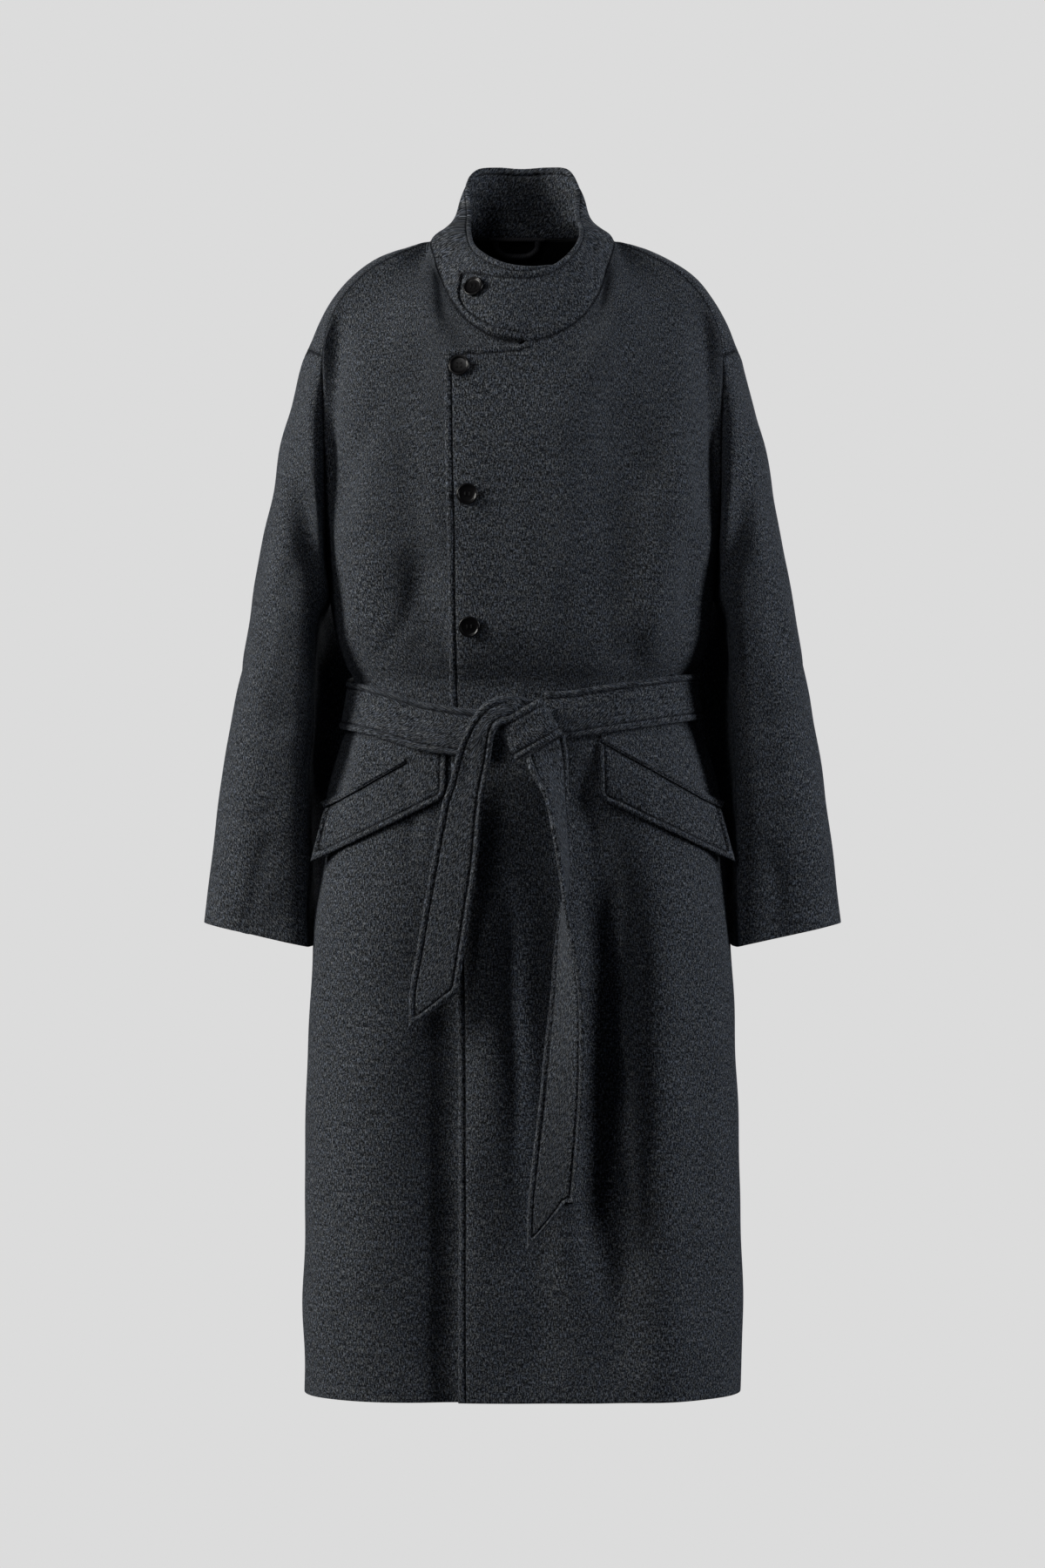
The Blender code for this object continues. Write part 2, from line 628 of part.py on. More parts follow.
def sleeve_grid(loop):
    """The left sleeve: rows from the cuff up to the armhole, columns forwards round from the inside."""
    along = lengths(np.concatenate([loop, loop[:1]]))
    turn = 2 * math.pi * along[:-1] / along[-1]
    inner_front = 2 * np.clip(np.cos(turn), 0, 1) * np.clip(np.sin(turn), 0, 1)
    guides = [loop]
    for x_in, z_in, x_out, z_out, y_mid, depth, power, behind in SLEEVE:
        reach = squared(turn, power + SLEEVE_FLAT * inner_front)
        across = -np.cos(turn) * reach
        x = (x_in + x_out) / 2 + across * (x_out - x_in) / 2
        x -= behind * np.clip(np.cos(turn - SLEEVE_BEHIND), 0, 1) ** SLEEVE_TUCK
        z = (z_in + z_out) / 2 + across * (z_out - z_in) / 2
        y = y_mid - np.sin(turn) * reach * depth + SLEEVE_SLANT * across * (x_out - x_in) / 2
        guides.append(np.stack([x, y, z], axis=-1))
    ease = guides[0] * (1 - CAP_LEAD) + guides[1] * CAP_LEAD
    ease[:, 1] -= CAP_EASE * np.sin(turn) * np.abs(np.sin(turn))
    guides.insert(1, ease)
    lead_in = 2 * guides[0] - guides[1]
    rows = rows_through([lead_in, *guides], SLEEVE_ROWS)
    return np.concatenate([rows[::-1], loop[None]])


def sleeve_panel(front, back, front_column, back_column, flip):
    """One sleeve, joined to its armhole."""
    loop = armhole(front, back, front_column, back_column)
    grid = sleeve_grid(mirrored(loop) if flip else loop)
    sleeve = Panel(grid, CLOTH, closed=True)
    if flip:
        sleeve.grid = mirrored(sleeve.grid)
        sleeve.normals = mirrored(sleeve.normals)
    half = UPPER_ROWS
    up = np.arange(LOW_ROWS - 1, LOW_ROWS + UPPER_ROWS)
    round_front = np.arange(half + 1)
    round_back = np.append(np.arange(half, 2 * half), 0)
    inner = 1 if front_column == 0 else -2
    behind = 1 if back_column == 0 else -2
    meet(sleeve, (-1, round_front), (-2, round_front), front, (up, front_column), (up, inner))
    meet(sleeve, (-1, round_back), (-2, round_back), back, (up[::-1], back_column), (up[::-1], behind))
    return sleeve


def make_sleeve(sleeve, side):
    """Splits a sleeve at its two seams into the top and under sleeve."""
    first, second = SLEEVE_SEAMS
    round_all = sleeve.grid.shape[1]
    parts = {"top": np.arange(first, second + 1), "under": np.arange(second, round_all + first + 1) % round_all}
    for part, columns in parts.items():
        piece = sleeve.part(columns)
        draw_back(piece, (slice(None), 0), (slice(None), 1))
        draw_back(piece, (slice(None), -1), (slice(None), -2))
        draw_back(piece, -1, -2)
        wall(piece, f"sleeve_{side}_{part}", "wool")


def collar_panel(left, right, back):
    """The collar: one band from its hidden end round the neck to its tab, on the panels' own seam points."""
    sewn = LAP_COLUMNS.index(int(NOTCH))
    last = len(LAP_COLUMNS) + NECK_COLUMNS
    under = right.grid[-1, ::-1][sewn:last]
    behind = back.grid[-1, ::-1][SHOULDER_COLUMNS + 1:SHOULDER_COLUMNS + BACK_NECK_COLUMNS]
    over = left.grid[-1, sewn:last][::-1]
    low = np.concatenate([np.array(COLLAR_HIDDEN_LOW, float), under, behind, over, np.array(TAB_LOWER, float)])
    line = rounded(COLLAR_TOP, 900)
    keys = []
    for _, row in COLLAR_KEYS:
        away = np.linalg.norm(line - np.array(COLLAR_TOP[row], float), axis=1)
        keys.append(int(np.argmin(away)))
    top = [line[:1]]
    for (start, end), (first, last) in zip(zip(keys, keys[1:]), zip(COLLAR_KEYS, COLLAR_KEYS[1:])):
        top.append(share_out(line[start:end + 1], even(last[0] - first[0]))[1:])
    top = np.concatenate(top)
    rise = even(COLLAR_ROWS)[:, None, None]
    grid = low * (1 - rise) + top * rise
    grid -= normals_of(grid) * COLLAR_SWELL * np.sin(math.pi * rise)
    collar = Panel(grid, COLLAR_CLOTH)
    collar.normals *= -1
    return collar


def join_collar(collar, left, right, back):
    """Shares the neck seam's directions between the collar and the panels."""
    sewn = LAP_COLUMNS.index(int(NOTCH))
    last = len(LAP_COLUMNS) + NECK_COLUMNS
    count = last - sewn
    first = len(COLLAR_HIDDEN_LOW)
    here = np.arange(first, first + count)
    there = right.grid.shape[1] - 1 - np.arange(sewn, last)
    meet(collar, (0, here), (1, here), right, (-1, there), (-2, there))
    here = np.arange(first + count - 1, first + count + BACK_NECK_COLUMNS)
    there = np.arange(SHOULDER_COLUMNS + BACK_NECK_COLUMNS, SHOULDER_COLUMNS - 1, -1)
    meet(collar, (0, here), (1, here), back, (-1, there), (-2, there))
    here = np.arange(first + count + BACK_NECK_COLUMNS - 1, first + 2 * count + BACK_NECK_COLUMNS - 1)
    there = np.arange(last - 1, sewn - 1, -1)
    meet(collar, (0, here), (1, here), left, (-1, there), (-2, there))


def make_lining(back):
    """The part of the lining that shows in the neck, inside the back."""
    columns = slice(SHOULDER_COLUMNS + 1, SHOULDER_COLUMNS + BACK_NECK_COLUMNS)
    grid = back.grid[-LINING_ROWS:, columns] - back.normals[-LINING_ROWS:, columns] * (CLOTH + LINING_GAP)
    lining = Panel(grid, LINING_CLOTH)
    lining.normals = back.normals[-LINING_ROWS:, columns].copy()
    draw_back(lining, -1, -2, LINING_SHORT)
    wall(lining, "lining_back", "lining")


def swept(path, halves, sides, name, slot, power=2.0, across=(0.0, -1.0, 0.0)):
    """A solid bar along a path, with an oval section of its own size at each point."""
    forward = unit(np.gradient(path, axis=0))
    depth = np.array(across, float) * np.ones_like(path)
    depth = unit(depth - forward * (depth * forward).sum(-1, keepdims=True))
    breadth = unit(np.cross(forward, depth))
    turn = np.arange(sides) * 2 * math.pi / sides
    reach = squared(turn, power)
    mesh = bmesh.new()
    rings = []
    for centre, side, out, (half, deep) in zip(path, breadth, depth, halves):
        ring = [
            centre + side * half * r * math.cos(t) + out * deep * r * math.sin(t) for r, t in zip(reach, turn)
        ]
        rings.append([mesh.verts.new(p * METRES) for p in ring])
    for low, high in zip(rings, rings[1:]):
        for k in range(sides):
            j = (k + 1) % sides
            mesh.faces.new((low[k], low[j], high[j], high[k]))
    mesh.faces.new(rings[0][::-1])
    mesh.faces.new(rings[-1])
    return finish(mesh, name, slot)


def make_hanger():
    path = share_out(rounded(HANGER), even(HANGER_ROWS))
    swept(path, [(HANGER_RADIUS, HANGER_RADIUS)] * len(path), HANGER_SIDES, "hanger_loop", "lining")


def belt_middle(x, front_right):
    """Height of the middle of the belt in front."""
    rows = np.array(BELT_FRONT if front_right else BELT_FRONT_LEFT, float)
    return np.interp(x, rows[:, 0], rows[:, 1])


def waist_point(angle, z):
    """A point of the body's section at height z, at an angle from straight ahead towards the left."""
    half, front, back, power = section(z)
    behind = math.cos(angle) < 0
    depth = back if behind else front
    reach = squared(angle, power, half, depth)
    return np.array([reach * math.sin(angle), -reach * math.cos(angle), z])


def make_belt():
    """The belt round the waist, open in front behind the knot."""
    right_start = math.atan2(BELT_FRONT[-1][0], BELT_DEPTH)
    left_start = math.atan2(BELT_FRONT_LEFT[0][0], BELT_DEPTH)
    quarter = math.pi / 2
    angles = np.concatenate([
        np.linspace(right_start, -quarter, BELT_COLUMNS[0] + 1)[:-1],
        np.linspace(-quarter, -3 * quarter, BELT_COLUMNS[1] + 1)[:-1],
        np.linspace(quarter, left_start, BELT_COLUMNS[2] + 1),
    ])
    edge = LAP_EDGE * edge_share(BELT_BACK)
    climb, before, descent = BELT_RISE
    columns = []
    for angle in angles[::-1]:
        x = waist_point(angle, BELT_BACK)[0]
        front_height = belt_middle(x, x < 0)
        in_front = smoothstep((math.cos(angle) + 0.35) / 0.5)
        middle = front_height * in_front + BELT_BACK * (1 - in_front)
        column = []
        for share in BELT_ROWS:
            z = middle + share * BELT_WIDTH / 2
            point = waist_point(angle, z)
            over = smoothstep((x + edge + climb + before) / climb)
            over *= 1 - smoothstep((x - edge - LAP_FADE[0]) / descent)
            lift = BELT_CLEAR + BELT_CLOTH + LAP * over * (math.cos(angle) > 0)
            column.append(point + outward(point) * lift)
        columns.append(column)
    grid = np.array(columns).transpose(1, 0, 2)[:, ::-1]
    wall(Panel(grid, BELT_CLOTH), "belt_waist", "wool")


def make_knot():
    """The turn of the belt round the knot, and the belt inside and over it."""
    along = np.array([math.cos(KNOT_SLANT), 0, math.sin(KNOT_SLANT)])
    up = np.array([-math.sin(KNOT_SLANT), 0, math.cos(KNOT_SLANT)])
    ahead = np.array([0, -1.0, 0])
    turn = np.arange(KNOT_SIDES) * 2 * math.pi / KNOT_SIDES
    reach = squared(turn, KNOT_SQUARENESS)
    layers = []
    for less in (0, BELT_CLOTH):
        length, deep = KNOT_HALF[0] - less, KNOT_HALF[1] - less
        rows = []
        for share in (-1, 0, 1):
            swell = 1 - KNOT_DRAWN_IN * share * share
            centre = np.array(KNOT) + up * share * KNOT_WRAP_HALF_WIDTH
            rows.append([
                centre + along * math.cos(t) * r * length * swell + ahead * math.sin(t) * r * deep * swell
                for t, r in zip(turn, reach)
            ])
        layers.append(np.array(rows))
    solid_between(layers[0], layers[1], "belt_knot_wrap", "wool", closed=True)
    rows = np.array(KNOT_LOOP, float)
    dense = rounded(rows)
    path = share_out(dense, even(LOOP_ROWS))
    swept(path[:, :3], path[:, 3:], LOOP_SIDES, "belt_knot_loop", "wool", LOOP_SQUARENESS)


def make_tail(rows, tip, name):
    """A hanging end of the belt: a flat band that turns as it falls, cut on a slant."""
    rows = np.array(rows, float)
    rows = share_out(rounded(rows[:, [1, 2, 0, 3, 4, 5]]), even(TAIL_ROWS))
    turn = np.radians(rows[:, 3])
    across = np.stack([np.cos(turn), np.sin(turn), np.zeros_like(turn)], axis=-1)
    across[:, 2] = rows[:, 5] / rows[:, 4]
    middle = rows[:, :3]
    near, far = middle - across * rows[:, 4:5], middle + across * rows[:, 4:5]
    if near[-1, 0] > far[-1, 0]:
        near[-1, 2] += TAIL_CUT
        tip_edge = far
    else:
        tip_edge = near
    tip_edge[-1, [0, 2]] = tip
    face = np.stack([np.sin(turn), -np.cos(turn), np.zeros_like(turn)], axis=-1)
    grid = np.stack([near, (near + far) / 2, far], axis=1)
    thick = (face * BELT_CLOTH / 2)[:, None]
    solid_between(grid + thick, grid - thick, name, "wool")


def on_panel(panel, x, z):
    """The place and direction of a panel's outer face in front, where x and z are given."""
    flat = panel.grid.reshape(-1, 3)
    normals = panel.normals.reshape(-1, 3)
    use = flat[:, 1] < 0
    flat, normals = flat[use], normals[use]
    away = (flat[:, 0] - x) ** 2 + (flat[:, 2] - z) ** 2
    near = np.argsort(away)[:5]
    weight = 1 / (away[near] + 1)
    rest = normals[near, 0] * (x - flat[near, 0]) + normals[near, 2] * (z - flat[near, 2])
    y = flat[near, 1] - rest / np.minimum(normals[near, 1], -0.25)
    place = np.array([x, (y * weight).sum() / weight.sum(), z])
    return place, unit((normals[near] * weight[:, None]).sum(0))


def pocket_points(panel, corners, mirror, stand, rows, columns):
    """A grid of points over a front, between four corners given in front view."""
    top_in, top_out, low_out, low_in = (np.array(corners[k], float) for k in corners)
    side = -1 if mirror else 1
    grid = np.empty((rows + 1, columns + 1, 3))
    for r, down in enumerate(even(rows)):
        for c, out in enumerate(even(columns)):
            top = top_in * (1 - out) + top_out * out
            low = low_in * (1 - out) + low_out * out
            x, z = top * (1 - down) + low * down
            if mirror:
                below = FLAP_BELOW_BELT[0] + FLAP_BELOW_BELT[1] * down
                z = min(z, belt_middle(-x, True) - BELT_WIDTH / 2 - below)
            over = max(x - FLAP_HOLD, 0)
            place, normal = on_panel(panel, side * (x - over), z)
            slope = normal[0] / max(-normal[1], 0.4)
            place = place + np.array([side * over, slope * side * over * FLAP_TURN, 0])
            grid[r, c] = place + normal * (stand[0] * (1 - down) + stand[1] * down + over * FLAP_OUT)
    return grid


def make_pocket(panel, name, mirror):
    """A pocket flap, and the narrow welt above it."""
    def cloth(grid, thickness, name):
        grid = grid[::-1]
        if mirror:
            grid = grid[:, ::-1]
        made = Panel(grid, thickness)
        made.grid = made.grid + made.normals * thickness
        wall(made, name, "wool")

    flap = pocket_points(panel, FLAP, mirror, FLAP_STAND, FLAP_ROWS, FLAP_COLUMNS)
    cloth(flap, FLAP_CLOTH, f"flap_{name}")
    top_in, top_out = np.array(FLAP["inner_top"], float), np.array(FLAP["outer_top"], float)
    along = (top_out - top_in) / np.linalg.norm(top_out - top_in)
    up = np.array([-along[1], along[0]])
    if mirror:
        top_in = top_in + along * WELT_HIDDEN
    gap = up * WELT_GAP
    band = up * (WELT_GAP + WELT_WIDTH)
    corners = {"a": top_in + band, "b": top_out + band, "c": top_out + gap, "d": top_in + gap}
    stand = (WELT_STAND, WELT_STAND)
    cloth(pocket_points(panel, corners, mirror, stand, 1, FLAP_COLUMNS), WELT_CLOTH, f"welt_{name}")


def seated(carrier, points, normal):
    """How far points can move along a direction before the first is a seat's gap away from the carrier."""
    data = carrier.data
    tree = BVHTree.FromPolygons([v.co for v in data.vertices], [tuple(p.vertices) for p in data.polygons])
    gaps = []
    for point in points:
        start = Vector((point + normal * SEAT_SEARCH) * METRES)
        hit = tree.ray_cast(start, Vector(-normal))
        if hit[0] is not None:
            gaps.append(hit[3] / METRES - SEAT_SEARCH)
    return min(gaps) - SEAT


def make_button(panel, carrier, name, x, z):
    """A four-hole button with a raised rim, lying on a panel."""
    place, normal = on_panel(panel, x, z)
    mesh = bmesh.new()
    rings = []
    for radius, height in BUTTON_PROFILE:
        angles = [2 * math.pi * k / BUTTON_SIDES for k in range(BUTTON_SIDES)]
        rings.append([mesh.verts.new((radius * math.cos(a), radius * math.sin(a), height)) for a in angles])
    for low, high in zip(rings, rings[1:]):
        for k in range(BUTTON_SIDES):
            j = (k + 1) % BUTTON_SIDES
            mesh.faces.new((low[k], low[j], high[j], high[k]))
    mesh.faces.new(rings[0][::-1])
    mesh.faces.new(rings[-1])
    bmesh.ops.scale(mesh, vec=(METRES,) * 3, verts=mesh.verts)
    made = finish(mesh, name, "button")
    for sx in (-1, 1):
        for sz in (-1, 1):
            drill(made, sx * BUTTON_HOLES[0], sz * BUTTON_HOLES[0])
    side = unit(np.cross(np.array([0, 0, 1.0]), normal))
    up = np.cross(normal, side)
    radius, height = BUTTON_PROFILE[0]
    around = np.arange(BUTTON_SIDES) * 2 * math.pi / BUTTON_SIDES
    back = [place + (side * math.cos(a) + up * math.sin(a)) * radius + normal * height for a in around]
    seat = place - normal * seated(carrier, [place, *back], normal)
    turn = np.eye(4)
    turn[:3, 0], turn[:3, 1], turn[:3, 2], turn[:3, 3] = side, up, normal, seat * METRES
    made.matrix_world = Matrix(turn.tolist())


def drill(button, x, y):
    """Cuts one sewing hole through a button."""
    bpy.ops.mesh.primitive_cylinder_add(
        vertices=BUTTON_HOLE_SIDES, radius=BUTTON_HOLES[1] * METRES, depth=BUTTON_HOLE_DEPTH * METRES,
        location=(x * METRES, y * METRES, 0),
    )
    cutter = bpy.context.object
    cutter.hide_render = True
    cutter.display_type = "WIRE"
    cut = button.modifiers.new("hole", "BOOLEAN")
    cut.object = cutter
    with bpy.context.temp_override(object=button, active_object=button, selected_objects=[button]):
        bpy.ops.object.modifier_apply(modifier=cut.name)
    bpy.data.objects.remove(cutter, do_unlink=True)


def main():
    for old in list(bpy.data.objects):
        bpy.data.objects.remove(old, do_unlink=True)
    left, right, back = body_panels()
    low = np.arange(LOW_ROWS)
    meet(left, (low, -1), (low, -2), back, (low, 0), (low, 1))
    meet(right, (low, 0), (low, 1), back, (low, -1), (low, -2))
    seam = np.arange(SHOULDER_COLUMNS + 1)
    meet(left, (-1, -1 - seam), (-2, -1 - seam), back, (-1, seam), (-2, seam))
    meet(right, (-1, seam), (-2, seam), back, (-1, -1 - seam), (-2, -1 - seam))
    collar = collar_panel(left, right, back)
    join_collar(collar, left, right, back)
    corner = SHOULDER_COLUMNS
    meet(left, (-1, -1 - corner), (-2, -1 - corner), back, (-1, corner), (-2, corner))
    meet(right, (-1, corner), (-2, corner), back, (-1, -1 - corner), (-2, -1 - corner))
    left_sleeve = sleeve_panel(left, back, -1, 0, False)
    right_sleeve = sleeve_panel(right, back, 0, -1, True)
    for panel, side in ((left, -1), (right, 0), (back, -1), (back, 0)):
        draw_back(panel, (slice(None), side), (slice(None), -2 if side else 1))
    for panel in (left, right, back):
        draw_back(panel, -1, -2)
    draw_back(collar, 0, 1, COLLAR_DRAWN_BACK)
    front = wall(left, "front_left", "wool")
    wall(right, "front_right", "wool")
    wall(back, "back", "wool")
    band = wall(collar, "collar", "wool")
    make_sleeve(left_sleeve, "left")
    make_sleeve(right_sleeve, "right")
    make_lining(back)
    make_hanger()
    make_belt()
    make_knot()
    make_tail(TAIL_RIGHT, TAIL_RIGHT_TIP, "belt_tail_right")
    make_tail(TAIL_LEFT, TAIL_LEFT_TIP, "belt_tail_left")
    make_pocket(left, "left", False)
    make_pocket(right, "right", True)
    tab = collar.part(slice(-TAB_COLUMNS, None))
    for name, x, z in BUTTONS:
        panel, carrier = (tab, band) if name == "button_1" else (left, front)
        make_button(panel, carrier, name, x, z)


main()
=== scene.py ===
"""Finishes a long wool wrap coat: its cloth, seams, stitching, belt, buttons and the stage it is shown on.

Lengths in the tables are in millimetres, in the frame's own axes: +X is the wearer's left, -Y the front and +Z
up. Each cloth piece is a grid of points on its outer face, drawn with true distances to its edges so that
stitching, seams and rolled edges lie where a maker would put them.
"""

import json
import math

import bpy
import numpy as np
from bpy.props import FloatProperty, FloatVectorProperty
from mathutils import Matrix, Vector

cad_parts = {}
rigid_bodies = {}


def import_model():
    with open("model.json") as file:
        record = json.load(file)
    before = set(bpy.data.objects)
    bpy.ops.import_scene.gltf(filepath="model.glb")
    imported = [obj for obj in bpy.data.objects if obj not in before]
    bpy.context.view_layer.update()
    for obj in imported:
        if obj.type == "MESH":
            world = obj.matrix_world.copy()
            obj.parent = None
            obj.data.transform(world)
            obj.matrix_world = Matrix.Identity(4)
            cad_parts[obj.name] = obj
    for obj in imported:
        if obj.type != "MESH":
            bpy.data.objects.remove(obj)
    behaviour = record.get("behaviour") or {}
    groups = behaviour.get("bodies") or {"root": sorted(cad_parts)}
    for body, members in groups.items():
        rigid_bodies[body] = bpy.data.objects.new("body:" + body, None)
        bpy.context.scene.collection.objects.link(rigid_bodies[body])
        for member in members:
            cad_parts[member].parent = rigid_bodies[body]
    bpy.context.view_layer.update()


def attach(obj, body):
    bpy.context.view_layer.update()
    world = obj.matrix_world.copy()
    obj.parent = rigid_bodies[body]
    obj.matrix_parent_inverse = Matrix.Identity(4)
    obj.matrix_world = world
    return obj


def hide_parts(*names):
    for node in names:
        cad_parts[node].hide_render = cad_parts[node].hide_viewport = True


bl_info = {
    "name": "Wrap coat",
    "version": (1, 0, 0),
    "blender": (4, 5, 0),
    "location": "3D View > Sidebar > Coat",
    "description": "Dresses the frame of a long wool wrap coat with its cloth, sewing, belt and buttons",
    "category": "Object",
}

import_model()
METRES = 0.001

# ---- the coat's form, in mm, as its frame has it ----
CLOTH = 2.4  # the wool of the body and sleeves
COLLAR_CLOTH = 3.2  # collar, two layers
BELT_CLOTH = 4.0  # belt, two layers
FLAP_CLOTH = 2.6
WELT_CLOTH = 1.6
LINING_CLOTH = 1.2
LAP = 4.6  # how far the upper front and the collar's tab lie out over what is below them
LAP_FADE = (6.0, 55.0)  # past the lap the upper front comes down to the seam line over this stretch
LAP_START = (8.0, 60.0)  # the lap rises from this far in front of the neck's middle, over this stretch
HEM = -1189.0
UNDERARM = -374.0
BELT_WIDTH = 49.0
# The coat below the underarms: height, half width, depth in front, depth behind, squareness
SECTIONS = [
    (-1189, 225.0, 116, 117, 2.5),
    (-1143, 226.5, 117, 118, 2.5),
    (-1008, 225.0, 117, 118, 2.5),
    (-878, 222.0, 118, 118, 2.5),
    (-756, 217.5, 119, 118, 2.5),
    (-653, 210.0, 120, 117, 2.5),
    (-596, 205.0, 119, 115, 2.5),
    (-562, 200.5, 118, 113, 2.5),
    (-530, 191.0, 115, 109, 2.5),
    (-504, 181.0, 111, 105, 2.5),
    (-480, 176.0, 109, 103, 2.5),
    (-456, 174.5, 111, 105, 2.5),
    (-440, 182.0, 120, 112, 2.5),
    (-413, 191.0, 130, 119, 2.6),
    (-374, 197.0, 133, 122, 2.6),
]
# Where the front edge lies, as a share of LAP_EDGE: height, share
EDGE_SHARE = [(-1189, 0.815), (-840, 0.815), (-480, 0.90), (-374, 0.92), (-124, 0.98), (0, 0.98)]
LAP_EDGE = 81.0
BODY_OVAL = (200.0, 125.0)  # half width and half depth of the oval that says which way is outwards
NOTCH = 9.0  # the collar is sewn to a front from here outwards
FREE_TOP = (-119.0, -124.5)  # height of a front's free top edge at the notch and at its end
FREE_TOP_FRONT, FREE_TOP_ROUND = -110.6, 0.0012  # its y at the centre, and how y falls off with x squared
FREE_YOKE_FRONT, FREE_YOKE_ROUND = -119.0, 0.0009  # the same a little lower
NECK_COLUMN_X = (82, 92, 100)  # where the back's column from the side of the neck crosses its top guide lines
# Guide lines of the front above the underarms, from the centre to the armhole: x, y, z
CHEST = [
    (0, -133, -290), (60, -131, -290), (120, -121, -290), (165, -101, -290), (191, -78, -290), (203, -52, -290),
]
BUST = [
    (0, -127, -205), (60, -123, -205), (120, -109, -205), (165, -90, -205), (192, -72, -205), (204, -56, -205),
]
YOKE = [
    (0, -119, -160), (45, -115, -150), (81, -100, -112), (100, -76, -76), (135, -66, -84),
    (170, -60, -104), (195, -54, -136), (205, -51, -165),
]
# The neckline from the centre front round the side of the neck to the centre back: x, y, z
NECKLINE = [
    (0, -112, -117), (9, -111.5, -116), (28, -109, -111), (45, -103, -102), (60, -92, -89),
    (74, -72, -68), (84, -46, -44), (92, -20, -18), (96, 6, -1), (91.5, 28, 3), (74, 50, 7),
    (42, 66, 8), (0, 70, 8),
]
NECK_SIDE = 8  # the row of NECKLINE at the side of the neck
# The forward shoulder seam, from the neck to the armhole: x, y, z
SHOULDER_SEAM = [
    (96, 6, -1), (131, -20, -18), (155, -29, -32), (172, -34, -47), (185, -38, -63), (195, -41, -80),
    (202, -44, -99), (206, -46, -125),
]
# Guide lines of the back, from the centre to the armhole: x, y, z
BACK_LOW = [
    (0, 125, -290), (60, 125, -290), (120, 117, -290), (165, 102, -290), (190, 86, -290), (206, 62, -290),
]
BACK_MID = [
    (0, 127, -205), (60, 126, -205), (120, 118, -205), (165, 105, -205), (192, 91, -205), (214, 72, -205),
]
BACK_HIGH = [
    (0, 117, -105), (60, 113, -104), (110, 98, -104), (155, 82, -112), (192, 66, -126), (223, 44, -150),
]
BACK_TOP = [
    (0, 94, -36), (48, 86, -33), (84, 62, -24), (118, 44, -28), (155, 34, -46), (190, 26, -78), (227, 12, -122),
]
RIDGE = [
    (0, 80, -11), (45, 74, -9), (80, 53, -4.5), (100, 14, -2), (133, 7, -12), (162, 3, -27.5), (184, 1, -46),
    (199, -1, -66), (211, -4, -88), (221, -12, -117),
]
# Folds of each side: x at the top, z at the top, x below, z below, half breadth, height out, fade at each end
FRONT_FOLDS = [
    (-22, -545, 12, -860, 26, -9, 80),
    (58, -530, 84, -760, 27, -12, 70),
    (84, -640, 82, -1110, 27, -17, 150),
    (-84, -700, -84, -1260, 32, -7, 130),
    (20, -600, 20, -1300, 105, -8, 90),
    (142, -610, 146, -1300, 44, 8, 90),
    (-28, -640, -26, -960, 20, 6, 90),
    (-160, -620, -165, -1300, 52, 5, 90),
    (44, -190, 54, -452, 30, -8, 80),
    (-104, -310, -98, -452, 24, -6, 50),
    (-158, -250, -160, -446, 22, 5, 60),
    (124, -230, 122, -442, 24, 6, 60),
    (178, -60, 190, -330, 13, -5, 60),
    (-186, -70, -192, -330, 13, -5, 60),
]
BACK_FOLDS = [
    (-58, -540, -70, -1260, 28, -12, 110),
    (46, -560, 66, -1240, 30, -11, 120),
    (-138, -600, -150, -1300, 40, 7, 110),
    (134, -590, 142, -1300, 42, 7, 110),
    (-4, -620, -2, -1260, 36, 7, 120),
    (-84, -300, -66, -450, 24, -6, 60),
    (76, -290, 62, -450, 24, -6, 60),
    (4, -320, 2, -450, 26, -4, 60),
    (132, -300, 120, -448, 24, 5, 60),
    (-136, -310, -122, -448, 22, 5, 60),
]
# Sleeve, wearer's left: inner x and z, outer x and z, y of the middle, half depth, squareness, and how far it
# reaches in behind the coat
SLEEVE = [
    (200, -378, 245, -192, 8, 78, 2.2, 10),
    (207, -392, 262, -279, 10, 90, 2.3, 24),
    (210, -420, 279, -372, 12, 92, 2.3, 40),
    (212, -462, 292, -440, 12, 85, 2.3, 58),
    (215, -520, 306, -523, 13, 78, 2.2, 50),
    (216.5, -590, 317, -596, 14, 73, 2.25, 32),
    (217.5, -665, 325.5, -660, 16, 61, 2.15, 24),
    (218, -731, 331, -707, 17, 49, 2.1, 16),
]
SLEEVE_BEHIND = math.radians(-55)  # direction in which it reaches furthest behind, from straight inwards
SLEEVE_TUCK = 6.0  # how narrowly it does so
SLEEVE_FLAT = 2.0  # how much squarer it is in front, on the side of the body
SLEEVE_SLANT = 0.2  # how far its front falls back outwards
CAP_EASE = 15.0  # how far the cap rounds out past the armhole
CAP_LEAD = 0.38  # how far down the sleeve's first stretch that is
# Collar: stations round the neck, from the hidden end to the tab: top x, y, z
COLLAR_TOP = [
    (33, -70.5, -33), (15, -79.5, -35), (0, -84, -37), (-17, -80, -32.5), (-35.5, -69, -23.5),
    (-47.6, -53, -13), (-54, -24, 6), (-56, 8, 40), (-50, 38, 76), (-36, 53, 81), (0, 58, 80), (36, 53, 81),
    (50, 38, 76), (57, 8, 42), (60, -18, 21), (58.5, -38, 1), (52, -60, -15), (41, -75, -28), (29, -85, -37),
    (12, -92, -43), (-13, -94, -44), (-38, -88, -40), (-53, -80, -37.5), (-66, -69, -36),
]
# Columns of the collar's seam that stand over rows of COLLAR_TOP, counted from the hidden end
COLLAR_KEYS = [(0, 0), (2, 3), (10, 7), (14, 10), (18, 13), (26, 19), (31, 23)]
COLLAR_SWELL = 2.5  # how far the band rounds out between its edges
